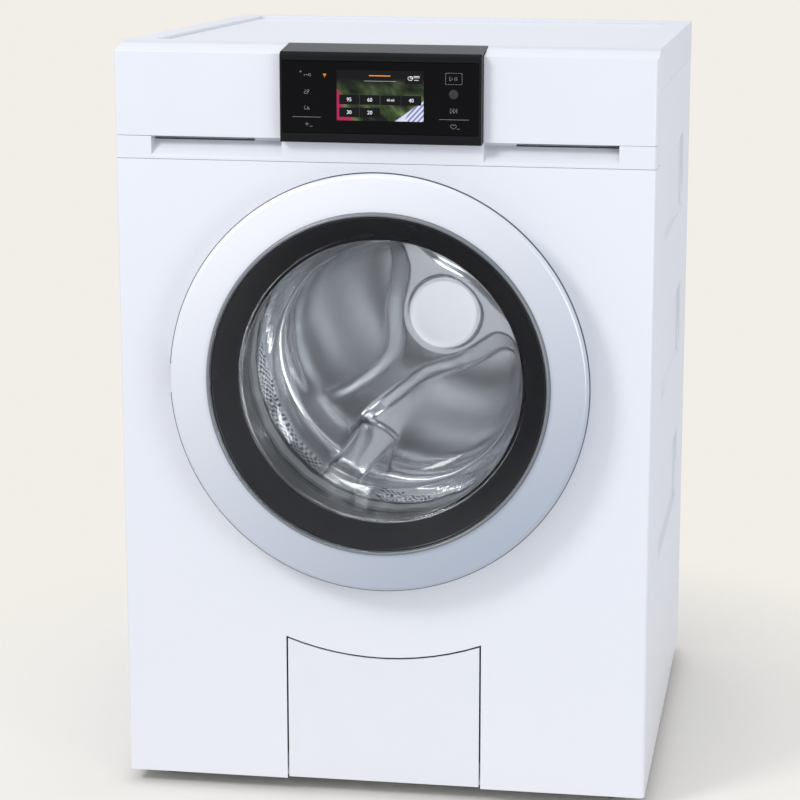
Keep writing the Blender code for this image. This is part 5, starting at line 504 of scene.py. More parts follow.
def lathe(name, profile, steps, sharp, closed=True):
    # radius and depth pairs drawn round the door's axis, loop by loop
    deselect()
    radius, depth = profile[0]
    bpy.ops.mesh.primitive_circle_add(vertices=steps, radius=radius, fill_type="NOTHING",
                                      location=(0, depthY(depth), machine["doorHeight"]), rotation=facing)
    piece = newPiece(name)
    openAll()
    for nextRadius, nextDepth in profile[1:]:
        bpy.ops.mesh.extrude_edges_move(TRANSFORM_OT_translate={"value": (0, nextDepth - depth, 0)})
        share = nextRadius / radius
        if share != 1:
            bpy.ops.transform.resize(value=(share, 1, share),
                                     center_override=(0, depthY(nextDepth), machine["doorHeight"]))
        radius, depth = nextRadius, nextDepth
    bpy.ops.mesh.select_all(action="DESELECT")
    bpy.ops.mesh.select_non_manifold()
    if closed:
        bpy.ops.mesh.bridge_edge_loops()
    else:
        bpy.ops.mesh.fill_holes(sides=0)
    bpy.ops.mesh.select_all(action="SELECT")
    bpy.ops.mesh.normals_make_consistent(inside=False)
    finishPiece(piece, sharp)
    return piece


def finishPiece(piece, sharp=35):
    # place into the mesh, and smooth shading up to an angle in degrees
    pick(piece)
    applyPlace()
    bpy.ops.object.shade_smooth_by_angle(angle=math.radians(sharp))


def settle(piece):
    # applies what modifiers the piece has
    pick(piece)
    for modifier in list(piece.modifiers):
        bpy.ops.object.modifier_apply(modifier=modifier.name)


def block(name, low, high, bevel=0.0, segments=1):
    # a cuboid from corners given as x, depth, z, with rounded edges
    deselect()
    middle = [(a + b) / 2 for a, b in zip(low, high)]
    bpy.ops.mesh.primitive_cube_add(size=1, location=(middle[0], depthY(middle[1]), middle[2]),
                                    scale=[b - a for a, b in zip(low, high)])
    piece = newPiece(name)
    if bevel:
        openAll()
        bpy.ops.mesh.bevel(offset=bevel, segments=segments, affect="EDGES")
    finishPiece(piece)
    return piece


def cutAway(piece, cutter):
    saw = piece.modifiers.new("cut", "BOOLEAN")
    saw.operation, saw.solver, saw.object = "DIFFERENCE", "EXACT", cutter
    settle(piece)
    bpy.data.objects.remove(cutter)


# how a CAD solid's edges are eased; angles in degrees, the corner values tell which edges are the front corners
easing = {
    "weld": 0.000004, "flatAngle": 0.6, "edgeAngle": 28, "smoothAngle": 50,
    "cornerNear": 0.0006, "cornerLong": 0.008, "cornerSteps": 5,
}


def softCopy(node, width, segments, corner=0.0):
    # a copy of a CAD solid with its sharp edges eased, as pressed or moulded edges are;
    # corner is the wider bend of its upright edges at the machine's two front corners
    e = easing
    pick(nodes[node])
    bpy.ops.object.duplicate()
    piece = bpy.context.object
    piece.parent = None
    piece.name = piece.data.name = "eased_" + node
    for key in list(piece.keys()):
        del piece[key]
    openAll()
    bpy.ops.mesh.remove_doubles(threshold=e["weld"])
    bpy.ops.mesh.dissolve_limited(angle_limit=math.radians(e["flatAngle"]))
    if corner:
        bpy.ops.mesh.select_all(action="DESELECT")
        bpy.ops.mesh.select_mode(type="EDGE")
        shape = bmesh.from_edit_mesh(piece.data)
        side, front = machine["halfWidth"] - e["cornerNear"], depthY(e["cornerNear"])
        for edge in shape.edges:
            a, b = (v.co for v in edge.verts)
            edge.select_set(all(abs(c.x) > side and c.y < front for c in (a, b)) and abs(a.z - b.z) > e["cornerLong"])
        bmesh.update_edit_mesh(piece.data)
        bpy.ops.mesh.bevel(offset=corner, segments=e["cornerSteps"])
    bpy.ops.object.mode_set(mode="OBJECT")
    ease = piece.modifiers.new("ease", "BEVEL")
    ease.width, ease.segments = width, segments
    ease.limit_method, ease.angle_limit = "ANGLE", math.radians(e["edgeAngle"])
    ease.harden_normals, ease.miter_outer = False, "MITER_ARC"
    settle(piece)
    finishPiece(piece, e["smoothAngle"])
    flat = piece.modifiers.new("flat", "WEIGHTED_NORMAL")      # broad faces stay flat beside the eased edges
    flat.keep_sharp = True
    settle(piece)
    return piece


def drawTubes(name, lines, radius, round, ribs=None):
    # round tubes along lines of x, depth and z; ribs are the pitch and depth of their folds
    curve = bpy.data.curves.new(name, "CURVE")
    curve.dimensions, curve.bevel_depth, curve.bevel_resolution, curve.use_fill_caps = "3D", radius, round, True
    for line in lines:
        spline = curve.splines.new("POLY")
        spline.points.add(len(line) - 1)
        run, last = 0.0, Vector(line[0])
        for spot, point in zip(spline.points, line):
            run += (Vector(point) - last).length
            last = Vector(point)
            spot.co = (point[0], depthY(point[1]), point[2], 1)
            if ribs:
                spot.radius = 1 - ribs[1] * (0.5 - 0.5 * math.cos(2 * math.pi * run / ribs[0]))
    piece = bpy.data.objects.new(name, curve)
    bpy.context.collection.objects.link(piece)
    pick(piece)
    bpy.ops.object.convert(target="MESH")
    return bpy.context.object


def join(name, pieces):
    pick(*pieces)
    bpy.ops.object.join()
    pieces[0].name = pieces[0].data.name = name
    return pieces[0]


def stand(piece, body, *standsFor, finish=None, slot=None):
    # puts a piece on its body, with its own finish or that of its slot
    slot = slot or slotOf[standsFor[0]]
    dress(piece, finishes[slot] if finish is None else finish)
    if body:
        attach(piece, body)      # a piece that bends between two bodies has none
    if standsFor:
        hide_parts(*standsFor)


# door: radius and depth of each turned piece, and the bend of its edges
door = {
    "ringOuter": 0.2324, "ringInner": 0.1905, "ringEdge": -0.0295, "ringFace": -0.0335, "ringInnerFace": -0.0350,
    "ringBack": 0.2225, "ringBackDepth": -0.0015, "ringWall": 0.0025, "ringSlope": 0.0040, "ringBend": 0.0016,
    "rimInner": 0.1855, "rimCrest": -0.0390, "rimFoot": -0.0310, "rimBend": 0.0012, "gap": 0.0003,
    "funnelFront": -0.0335, "funnelInner": 0.1600, "funnelBack": -0.0085, "funnelWall": 0.0030,
    "hingeHalf": 0.0165, "hingeX": -0.2160, "room": 0.0100,
    # the band is a dark band of painted shadow along the ring's outer edge
    "bandFront": -0.0302, "bandBack": -0.0262, "bandProud": 0.0005,
}


def cutHinge(piece, front):
    # the gap at the left where the hinge's plate stands
    d = door
    high, half = machine["doorHeight"], d["hingeHalf"]
    cutAway(piece, block("hingeGap", (-d["ringOuter"] - d["room"], front, high - half),
                         (d["hingeX"], d["room"], high + half)))


def makeRing():
    # the broad silver ring, hollow at the back
    d = door
    front = roundCorners([
        (d["ringBack"], d["ringBackDepth"]), (d["ringOuter"], d["ringEdge"]),
        (d["ringOuter"] - d["ringSlope"], d["ringFace"]),
        (d["ringInner"] + d["ringSlope"], d["ringInnerFace"] + 0.0001),
        (d["ringInner"], d["ringInnerFace"] + 0.0003)], d["ringBend"], 5)
    back = [(d["ringInner"], d["ringInnerFace"] + d["ringWall"]),
            (d["ringOuter"] - d["ringSlope"], d["ringFace"] + d["ringWall"]),
            (d["ringOuter"] - d["ringWall"], d["ringEdge"]),
            (d["ringBack"] - d["ringWall"], d["ringBackDepth"])]
    ring = lathe("silverRing", front + back, 288, 30)
    cutHinge(ring, -0.0305)
    stand(ring, "door", "door_ring")


def makeRim():
    # the raised lip inside the ring
    d = door
    outer = d["ringInner"] - d["gap"]
    profile = roundCorners([
        (d["rimInner"], d["rimFoot"]), (d["rimInner"], -0.0352), (d["rimInner"] + 0.0012, d["rimCrest"] + 0.0004),
        (outer - 0.0018, d["rimCrest"] + 0.0002), (outer, d["rimCrest"] + 0.0026), (outer, d["rimFoot"])],
        d["rimBend"], 5)
    rim = lathe("raisedRim", profile, 288, 40)
    stand(rim, "door", "door_rim")


def makeFunnel():
    # the dark wall that narrows from the rim to the glass
    d = door
    outer = d["rimInner"] - d["gap"]
    profile = roundCorners([
        (outer, d["funnelFront"] + d["funnelWall"]), (outer, d["funnelFront"]),
        (outer - 0.0014, d["funnelFront"] + 0.0006), (d["funnelInner"] + 0.0024, d["funnelBack"] - 0.0022),
        (d["funnelInner"], d["funnelBack"]), (d["funnelInner"] + d["funnelWall"], d["funnelBack"])],
        d["rimBend"], 5)
    funnel = lathe("darkFunnel", profile, 240, 40)
    stand(funnel, "door", "door_bezel", finish=coneFinish())


bowl = {
    "flange": 0.1780, "neck": 0.1586, "wall": 0.0036, "radius": 0.1470, "corner": 0.0340,
    "deep": 0.1195, "crown": 0.0030, "front": -0.0082, "bend": 0.0035,
    "floor": ((0.0006, 0.0), (0.03, 0.0001), (0.06, 0.0006), (0.09, 0.0017)),      # distance from the axis, fall
}


def makeBowl():
    # pressed glass dish: outside from pole to flange, back along the inside
    b = bowl
    t = b["wall"]
    middleR, middleD = b["radius"] - b["corner"], b["deep"] - b["crown"] - b["corner"]
    bend = [math.radians(a) for a in range(90, -1, -6)]
    outside = [(reach, b["deep"] - fall) for reach, fall in b["floor"]]
    outside += [(middleR + b["corner"] * math.cos(a), middleD + b["corner"] * math.sin(a)) for a in bend]
    outside += roundCorners([outside.pop(), (b["neck"], t), (b["neck"] + t / 2, b["front"] + t),
                             (b["flange"], b["front"] + t)], b["bend"], 5)
    inside = [(middleR + (b["corner"] - t) * math.cos(a), middleD + (b["corner"] - t) * math.sin(a))
              for a in reversed(bend)]
    inside = roundCorners([(b["flange"], b["front"]), (b["neck"] - t / 2, b["front"]),
                           (b["neck"] - t, t / 2), inside.pop(0)], b["bend"], 5) + inside
    inside += [(reach, b["deep"] - fall - t) for reach, fall in reversed(b["floor"])]
    glass = lathe("glassBowl", outside + inside, 160, 60, closed=False)
    stand(glass, "door", "door_glass")


def makeShadowBand():
    # painted shadow: a dark band at the ring's outer edge stands in for the shade of the gap behind it, seen from the
    # front as a fine outline
    r, proud, front, back = door["ringOuter"], door["bandProud"], door["bandFront"], door["bandBack"]
    band = lathe("ringShadowBand", [(r - 0.0012, front), (r + proud - 0.0001, front + 0.0010),
                                  (r + proud, back - 0.0004), (r - 0.0012, back)], 288, 60)
    cutHinge(band, -0.0315)
    stand(band, "door", finish=plasticFinish("shadowGrey", (0.085, 0.09, 0.105), 0.4), slot="grey_trim")


makeRing()
makeShadowBand()
makeRim()
makeFunnel()
makeBowl()
print("door: ring, rim, funnel and glass bowl")


# drum: pressed sheet with a rolled mouth
drum = {
    "inner": 0.2440, "wall": 0.0012, "mouth": 0.1680, "lip": 0.0030, "front": 0.1060, "rear": 0.4400,
    "shoulder": 0.0180, "corner": 0.0160, "pressStep": 0.0088, "pressFrom": 0.1900, "pressWide": 0.0225,
    "lobeAngle": 62.0, "lobeDepth": 0.0080, "lobeIn": 0.060, "lobeOut": 0.212, "armHalf": 0.017,
    "ease": 0.020, "soft": 0.016, "twist": 90,      # slope at the star's edge, its round corners, its arms' sweep
    "hub": 0.046, "hubDepth": 0.0030, "hubEase": 0.006,
    "loops": 48, "loopPitch": 0.0044, "pole": 0.0006, "plateEnd": 0.2135, "plateFront": 0.40,
}


def easeShare(value):
    # 0 to 1 with a soft start and end
    value = min(max(value, 0.0), 1.0)
    return value * value * (3 - 2 * value)


def lobeHeight(x, z):
    # how far the pressed star of the drum's back goes rearwards at a place
    d = drum
    reach = math.hypot(x, z)
    away = (math.degrees(math.atan2(z, x)) - d["lobeAngle"] + 60 + reach * d["twist"]) % 120 - 60
    fromArm = reach * math.sin(math.radians(60 - abs(away))) - d["armHalf"]
    inner, outer, soft = reach - d["lobeIn"], d["lobeOut"] - reach, d["soft"]
    least = -soft * math.log(sum(math.exp(-way / soft) for way in (fromArm, inner, outer)))
    rise = d["lobeDepth"] * easeShare(least / d["ease"] + 0.35)
    boss = d["hubDepth"] * easeShare((d["hub"] - reach) / d["hubEase"] + 0.5)
    return rise + boss


def makeDrum():
    d = drum
    half = d["wall"] / 2
    middle, back = d["inner"] + half, d["rear"] - d["pressStep"]
    turn = [math.radians(a) for a in range(0, 91, 9)]
    rings = [d["pole"] + d["loopPitch"] * i for i in range(d["loops"] + 1)]

    def shell(side):
        # side 1 is the outside, -1 the inside
        plate = [(r, back + side * half) for r in rings]
        rim = [(middle - d["corner"] + (d["corner"] + side * half) * math.sin(a),
                d["rear"] - d["corner"] + (d["corner"] + side * half) * math.cos(a)) for a in turn]
        cone = [(middle - d["shoulder"] + (d["shoulder"] + side * half) * math.cos(a),
                 d["front"] + 3 * d["lip"] + d["shoulder"] - (d["shoulder"] + side * half) * math.sin(a) * 0.9)
                for a in turn[:9]]
        lip = [(d["mouth"] + d["lip"] * 1.6, d["front"] + d["lip"] * 1.4 - side * half),
               (d["mouth"] + d["lip"] * 0.5, d["front"] + d["lip"] * 0.5 - side * half),
               (d["mouth"] - side * 0.0003 + 0.0003, d["front"] + d["lip"] * 0.9)]
        return plate + rim + cone + lip
    piece = lathe("perforatedDrum", shell(1) + shell(-1)[::-1], 240, 50, closed=False)
    for vertex in piece.data.vertices:
        x, z = vertex.co.x, vertex.co.z - machine["doorHeight"]
        reach = math.hypot(x, z)
        if reach < d["plateEnd"] and vertex.co.y > depthY(d["plateFront"]):
            vertex.co.y += lobeHeight(x, z) + d["pressStep"] * easeShare((reach - d["pressFrom"]) / d["pressWide"])
    stand(piece, "drum", "drum_shell", finish=drumFinish())


lifter = {
    "start": 0.1300, "end": 0.4298, "height": 0.0640, "baseHalf": 0.0450, "topHalf": 0.0270, "seat": 0.2425,
    "angles": (242.0, 122.0, 2.0), "frontSlope": 0.30, "frontLift": 0.12, "waist": 0.18, "crown": 0.006,
    "flare": 1.5, "wallWide": 0.49, "cuts": 7,      # wallWide is the width of the drum, which the foot follows
}


def makeLifter(number, angle):
    # a pressed hollow paddle on the drum's wall: waisted, with a long slope at its front end
    s = lifter
    deselect()
    base, long = machine["doorHeight"] - s["seat"], s["end"] - s["start"]
    bpy.ops.mesh.primitive_cube_add(size=2, location=(0, depthY((s["start"] + s["end"]) / 2), base + 1),
                                    scale=(1, long / 2, 1))
    piece = newPiece("paddle%d" % number)
    openAll()
    bpy.ops.mesh.subdivide(number_cuts=s["cuts"])
    bpy.ops.object.mode_set(mode="OBJECT")
    for vertex in piece.data.vertices:
        up = min(max((vertex.co.z - base) / 2, 0.0), 1.0)
        along = (vertex.co.y - depthY(s["start"])) / long
        tall = easeShare(along / s["frontSlope"] + s["frontLift"])
        narrow = 1 - s["waist"] * math.sin(math.pi * min(max(along, 0.0), 1.0))
        foot = (1 - up) ** s["flare"]
        across = vertex.co.x
        vertex.co.x = across * (s["baseHalf"] * foot + s["topHalf"] * narrow * (1 - foot))
        crown = s["crown"] * (1 - across * across) * up
        vertex.co.z = base + (up * s["height"] + crown) * tall - (1 - up) * (vertex.co.x ** 2 / s["wallWide"])
    openAll()
    bpy.ops.transform.rotate(value=math.radians(angle - 270), orient_axis="Y",
                             center_override=(0, 0, machine["doorHeight"]))
    bpy.ops.mesh.normals_make_consistent(inside=False)
    finishPiece(piece, 60)
    smooth = piece.modifiers.new("smooth", "SUBSURF")
    smooth.levels = smooth.render_levels = 1
    settle(piece)
    stand(piece, "drum", "lifter_%d" % number, finish=polishedFinish("paddleSteel%d" % number, 0.2))


gasket = {
    "path": ((0.1948, 0.0033), (0.1848, 0.0033), (0.1720, 0.0120), (0.1602, 0.0240), (0.1720, 0.0340),
             (0.1880, 0.0420), (0.1980, 0.0520), (0.1980, 0.0620), (0.1785, 0.0750), (0.1755, 0.0780),
             (0.1755, 0.0900)),
    "wall": 0.0030, "bend": 0.0045, "gives": (0.036, 0.078),      # depths between which it bends
}


def makeGasket():
    # folded rubber sleeve from the front panel to the tub
    path = roundCorners(list(gasket["path"]), gasket["bend"], 4)
    left, right = [], []
    for i, point in enumerate(path):
        along = Vector(path[min(i + 1, len(path) - 1)]) - Vector(path[max(i - 1, 0)])
        side = Vector((-along.y, along.x)).normalized() * gasket["wall"] / 2
        left.append(tuple(Vector(point) + side))
        right.append(tuple(Vector(point) - side))
    sleeve = lathe("foldedSleeve", left + right[::-1], 160, 50)
    stand(sleeve, None, "door_gasket")
    front, rear = gasket["gives"]
    depthY(front)
    depthY(rear)
    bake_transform(sleeve)


makeDrum()
for number, angle in enumerate(lifter["angles"], 1):
    makeLifter(number, angle)
makeGasket()
print("drum: shell, paddles and gasket")


# control display: housing, dark pane, printed signs and the lit picture under the pane
display = {
    "pane": -0.0110, "proud": 0.00012, "sunk": 0.0001, "typeDeep": 0.00008,
    "screen": ((-0.0473, 0.7708), (0.0473, 0.8247)), "pictureProud": 0.00006,
    "tileRows": ((0.7880, 0.7983), (0.7744, 0.7846)), "tilesInRow": 4,
    "tileWide": 0.0217, "tilePitch": 0.0226, "tileLeft": -0.0446, "tileProud": 0.00011, "tileEdge": 0.00003,
    "sortTile": ((0.0270, 0.8112), (0.0455, 0.8228)),
    "numbers": ("95", "60", "40-60", "40", "30", "20"), "numberSize": 0.0056, "smallSize": 0.0036,
    "dial": (0.0798, 0.8006), "dialRadius": 0.0050, "dialThick": 0.0003, "dialEdge": 0.00008,
    "ink": (0.30, 0.30, 0.31), "dimInk": (0.035, 0.035, 0.037),
    "orange": (0.70, 0.24, 0.02), "white": (0.72, 0.73, 0.75), "black": (0.0015, 0.0015, 0.002),
}


def inkFinish(name, colour, glow):
    # printed sign lit from behind, a little uneven
    f = Finish(name, colour, 0.4, Specular_IOR_Level=0.2, Emission_Strength=glow)
    uneven = f.noise(700, 2)
    worn = f.mix(uneven * 0.5, colour, shade(colour, 0.8))
    f.set("Emission Color", worn)
    return f.cover(worn, 0.35 + uneven * 0.1)


def pictureFinish():
    # soft plain picture behind the tiles: leaves out of focus, a red corner and a striped cloth
    f = Finish("litPicture", (0.1, 0.12, 0.05), 0.3, Specular_IOR_Level=0.2, Emission_Strength=0.4)
    low, high = (Vector(corner) for corner in display["screen"])
    u, v = (f.x - low.x) / (high.x - low.x), (f.z - low.y) / (high.y - low.y)
    leaf = f.noise(55, 2, f.join(f.x + f.z * 0.5, 0.0, f.z))
    green = f.ramp(leaf, (0.36, (0.004, 0.006, 0.003)), (0.5, (0.025, 0.042, 0.012)),
                   (0.62, (0.075, 0.105, 0.04)), (0.74, (0.20, 0.24, 0.13)))
    fade = f.stretch(v + f.noise(30, 1) * 0.2, 0.55, 0.95)
    colour = f.mix(fade, green, (0.002, 0.002, 0.003))
    left = f.stretch(u * 1.5 + v * 0.5 + f.noise(80, 1) * 0.2, 0.34, 0.42, 1, 0) * (v < 0.62)
    colour = f.mix(left, colour, (0.30, 0.012, 0.06))
    cloth = f.stretch((u - 0.66) * 1.25 - v, 0.0, 0.03)
    stripe = (((u * 2.1 - v * 1.1) * 52).wave() > 0.25) * f.stretch(u, 0.78, 0.82)
    colour = f.mix(cloth, colour, f.mix(stripe, (0.50, 0.50, 0.60), (0.13, 0.14, 0.33)))
    f.set("Emission Color", colour)
    return f.cover(colour, 0.25 + leaf * 0.1)


def paneFinish():
    # black glass, hardly a mirror, with faint wiping marks
    f = Finish("blackPane", (0.0012, 0.0012, 0.0014), 0.06, Specular_IOR_Level=0.12)
    marks = f.noise(9, 4, f.scaled(1, 1, 4))
    return f.cover(f.mix(marks, (0.0010, 0.0010, 0.0012), (0.0016, 0.0016, 0.0018)),
                   f.stretch(marks, 0.35, 0.75, 0.05, 0.11))


def housingFinish():
    # black moulded frame of the display
    f = Finish("blackHousing", (0.007, 0.007, 0.0075), 0.22, Specular_IOR_Level=0.16)
    slow, fine = f.noise(12, 3), f.noise(900, 2)
    return f.cover(f.mix(slow, (0.006, 0.006, 0.0065), (0.009, 0.009, 0.0095)), slow * 0.08 + fine * 0.05 + 0.17,
                   fine, 0.00001, 0.4)


def arc(x, z, radius, start, end, steps=14, tall=1.0):
    # part of a circle between two angles in degrees; tall squeezes its height
    angles = [math.radians(start + (end - start) * i / steps) for i in range(steps + 1)]
    return [(x + radius * math.cos(a), z + radius * tall * math.sin(a)) for a in angles]


def dashedBox(left, low, right, high, across, up):
    # across and up are the start, pitch, length and number of the dashes
    lines = []
    for i in range(across[3]):
        a = across[0] + i * across[1]
        lines += [[(a, z), (a + across[2], z)] for z in (high, low)]
    for i in range(up[3]):
        a = up[0] + i * up[1]
        lines += [[(x, a), (x, a + up[2])] for x in (left, right)]
    return lines


# printed signs in tenths of a millimetre: half the width of their lines, and the lines as points of x and z
signs = {
    # key, dot, two care signs, rule, plus and dash
    "left": (2, [
        arc(-768, 8189, 13, 0, 360), [(-781, 8189), (-830, 8189)], [(-826, 8189), (-826, 8179)],
        arc(-868, 8223, 8, 0, 360, 8),
        [(-829, 7990), (-829, 8004), (-808, 8018), (-790, 8030), (-776, 8030), (-776, 8014), (-790, 8000)],
        [(-829, 7990), (-790, 7990)], [(-812, 8026), (-822, 8032)], [(-800, 8000), (-784, 8018)],
        arc(-810, 7838, 19, 100, 400), [(-796, 7824), (-774, 7816), (-774, 7832), (-790, 7844)],
        [(-960, 7737), (-649, 7737)],
        [(-824, 7662), (-780, 7662)], [(-802, 7682), (-802, 7641)], [(-772, 7637), (-740, 7637)],
    ]),
    # play and pause in a dashed box, skip, rule, heart and dash
    "right": (2, [
        [(755, 8150), (755, 8194), (788, 8172), (755, 8150)],
        [(812, 8152), (812, 8192)], [(833, 8152), (833, 8192)],
        [(762, 7806), (762, 7858), (794, 7832), (762, 7806)],
        [(796, 7806), (796, 7858), (828, 7832), (796, 7806)], [(833, 7806), (833, 7858)],
        [(642, 7737), (965, 7737)],
        arc(783, 7668, 16, 180, 20, 8) + arc(813, 7668, 16, 160, 0, 8)
        + [(829, 7662), (798, 7634), (767, 7662), (767, 7668)],
        [(834, 7637), (866, 7637)],
    ] + dashedBox(711, 8112, 889, 8232, (712, 26.3, 17, 7), (8114, 24.7, 16, 5))),
    "tap": (4, [
        [(-622, 8200), (-586, 8200)], [(-618, 8190), (-590, 8190)], [(-604, 8182), (-604, 8168)],
    ]),
    "tileRules": (1.6, [
        [(-446, 7997), (458, 7997)], [(-446, 7862), (4, 7862)],
        *([(x, 7886), (x, 7995)] for x in (-225, 2, 228)), [(-225, 7750), (-225, 7844)],
    ]),
    "sort": (3, [
        arc(330, 8168, 26, 0, 360, 16, 0.8), arc(341, 8178, 12, 0, 360, 10),
        [(365, 8192), (430, 8192)], [(365, 8178), (430, 8178)], [(372, 8150), (420, 8150)],
    ]),
    "title": (6, [[(-118, 8191), (112, 8191)]]),
    "under": (3, [[(-174, 8134), (174, 8134)]]),
}


def strokes(name, sign, ink):
    # fine tubes sunk halfway into the pane
    width, lines = signs[sign]
    lines = [[(x / 10000, display["pane"], z / 10000) for x, z in line] for line in lines]
    piece = drawTubes(name, lines, width / 10000, 1)
    finishPiece(piece, 60)
    stand(piece, "cabinet", finish=ink, slot="screen")


def sheet(name, corners, proud, *bevel):
    # a thin sheet on the pane, from its lower left to its upper right corner
    (left, low), (right, high) = corners
    return block(name, (left, display["pane"] - proud, low), (right, display["pane"] + display["sunk"], high), *bevel)


def lettering(name, words, ink):
    # numbers on the tiles, as thin solid type
    made = []
    for text, x, z, size in words:
        deselect()
        bpy.ops.object.text_add(location=(x, depthY(display["pane"] - display["proud"]), z), rotation=facing)
        piece = bpy.context.object
        piece.data.body, piece.data.size = text, size
        piece.data.align_x, piece.data.align_y = "CENTER", "CENTER"
        piece.data.extrude, piece.data.resolution_u = display["typeDeep"], 3
        bpy.ops.object.convert(target="MESH")
        applyPlace()
        made.append(bpy.context.object)
    stand(join(name, made), "cabinet", finish=ink, slot="screen")


def makeDisplay():
    d = display
    stand(softCopy("display_housing", 0.0007, 3), "cabinet", "display_housing", finish=housingFinish())
    stand(softCopy("display_glass", 0.0004, 2), "cabinet", "display_glass", finish=paneFinish())
    ink, dim = inkFinish("greyInk", d["ink"], 0.25), inkFinish("dimInk", d["dimInk"], 0.1)
    orange, white = inkFinish("orangeInk", d["orange"], 0.6), inkFinish("whiteInk", d["white"], 0.5)
    strokes("leftSigns", "left", ink)
    strokes("rightSigns", "right", ink)
    strokes("tapSign", "tap", orange)
    deselect()
    x, z = d["dial"]
    bpy.ops.mesh.primitive_cylinder_add(vertices=40, radius=d["dialRadius"], depth=d["dialThick"],
                                        location=(x, depthY(d["pane"]), z), rotation=facing)
    dial = newPiece("dialSign")
    openAll()
    bpy.ops.mesh.bevel(offset=d["dialEdge"], segments=2)
    finishPiece(dial)
    stand(dial, "cabinet", finish=dim, slot="screen")

    picture = sheet("litPicture", d["screen"], d["pictureProud"])
    stand(picture, "cabinet", finish=pictureFinish(), slot="screen")
    corners, words = [], []
    for number, text in enumerate(d["numbers"]):
        row, column = divmod(number, d["tilesInRow"])
        low, high = d["tileRows"][row]
        left = d["tileLeft"] + column * d["tilePitch"]
        corners.append(((left, low), (left + d["tileWide"], high)))
        size = d["smallSize"] if len(text) > 2 else d["numberSize"]
        words.append((text, left + d["tileWide"] / 2, (low + high) / 2, size))
    tiles = [sheet("tile", pair, d["tileProud"], d["tileEdge"]) for pair in corners + [d["sortTile"]]]
    stand(join("numberTiles", tiles), "cabinet", finish=inkFinish("tileBlack", d["black"], 0.0), slot="screen")
    lettering("tileNumbers", words, white)
    strokes("tileRules", "tileRules", dim)
    strokes("sortSign", "sort", white)
    strokes("titleRule", "title", orange)
    strokes("underRule", "under", ink)


# painted shadow: near-black blocks fill the slots under the two fascias where there is shade; outer and inner end,
# and how far the inner end is cut back
slots = {
    "high": 0.7452, "low": 0.7378, "depth": 0.0146, "back": 0.0156, "edge": 0.0003,
    "left": (-0.2565, -0.1440, 0.0025), "right": (0.2565, 0.1440, 0.0075),
}


def makeSlots():
    s = slots
    # near black, to paint the shade inside each slot
    ink = plasticFinish("slotShadowBlack", (0.004, 0.004, 0.0045), 0.5)
    for side in ("left", "right"):
        outer, inner, slant = s[side]
        low, high = sorted((outer, inner))
        piece = block(side + "Slot", (low, s["depth"], s["low"]), (high, s["back"], s["high"]), s["edge"], 2)
        for vertex in piece.data.vertices:
            if abs(vertex.co.x - inner) < 0.002 and vertex.co.z < (s["low"] + s["high"]) / 2:
                vertex.co.x += slant if inner > 0 else -slant
        stand(piece, "cabinet", finish=ink, slot="grey_trim")


# CAD pieces shown with eased edges: node, body, width and steps of the easing, bend of the machine's front corners
easedPieces = (
    ("front_panel", "cabinet", 0.0007, 3, 0.0045), ("grip_strip", "cabinet", 0.0006, 3, 0.0045),
    ("fascia_right", "cabinet", 0.0008, 3, 0.0045), ("drawer_front", "drawer", 0.0008, 3, 0.0045),
    ("top_frame", "cabinet", 0.0010, 3), ("top_plate", "cabinet", 0.0008, 3),
    ("side_panel_left", "cabinet", 0.0004, 2), ("side_panel_right", "cabinet", 0.0004, 2),
    ("service_flap", "flap", 0.0006, 3), ("door_back_ring", "door", 0.0005, 2), ("rear_cover", "cabinet", 0.0004, 2),
    ("drawer_tray", "drawer", 0.0005, 2), ("siphon_cap", "drawer", 0.0006, 2), ("door_lock", "cabinet", 0.0006, 2),
    ("pump_filter", "filter", 0.0006, 2), ("motor", "tub", 0.0012, 2),
)


def makeEased():
    for name, body, *edges in easedPieces:
        stand(softCopy(name, *edges), body, name)


makeDisplay()
print("display: pane, signs, picture and tiles")
makeSlots()
makeEased()
print("eased edges: %d pieces" % len(easedPieces))


# springs and hoses between cabinet and tub: they bend, so they stand on no body
sprung = {
    "springX": 0.1850, "springDepth": 0.3300, "springLow": 0.6922, "springHigh": 0.7780,
    "coil": 0.0094, "wire": 0.0016, "turns": 5, "stepsInTurn": 20,
    "ribs": (0.0062, 0.13),      # pitch and depth of the hoses' folds
    "sumpX": 0.0400, "sumpRadius": 0.0148,
    "sumpRoute": ((0.1603, 0.0860), (0.1736, 0.0860), (0.1869, 0.0868), (0.2090, 0.0950), (0.2320, 0.1180),
                  (0.2400, 0.1500), (0.2400, 0.1864), (0.2400, 0.1997)),
    "fillHose": (-0.1600, 0.2500, 0.7063, 0.7397), "fillRadius": 0.0198, "fillSteps": 48,
}


def smoothLine(points, steps):
    # a curve through the points, as many of them as steps in each span
    made = []
    for i in range(len(points) - 1):
        before, start, end, after = (Vector(points[min(max(i + k, 0), len(points) - 1)]) for k in (-1, 0, 1, 2))
        for j in range(steps):
            t = j / steps
            made.append(0.5 * (2 * start + (end - before) * t + (2 * before - 5 * start + 4 * end - after) * t ** 2
                               + (3 * start - before - 3 * end + after) * t ** 3))
    return made + [Vector(points[-1])]


def tube(name, points, radius, round, ribs=None):
    # one tube, closed up and with its faces outwards
    piece = drawTubes(name, [points], radius, round, ribs)
    openAll()
    bpy.ops.mesh.remove_doubles(threshold=0.00001)
    bpy.ops.mesh.normals_make_consistent(inside=False)
    finishPiece(piece, 60)
    return piece


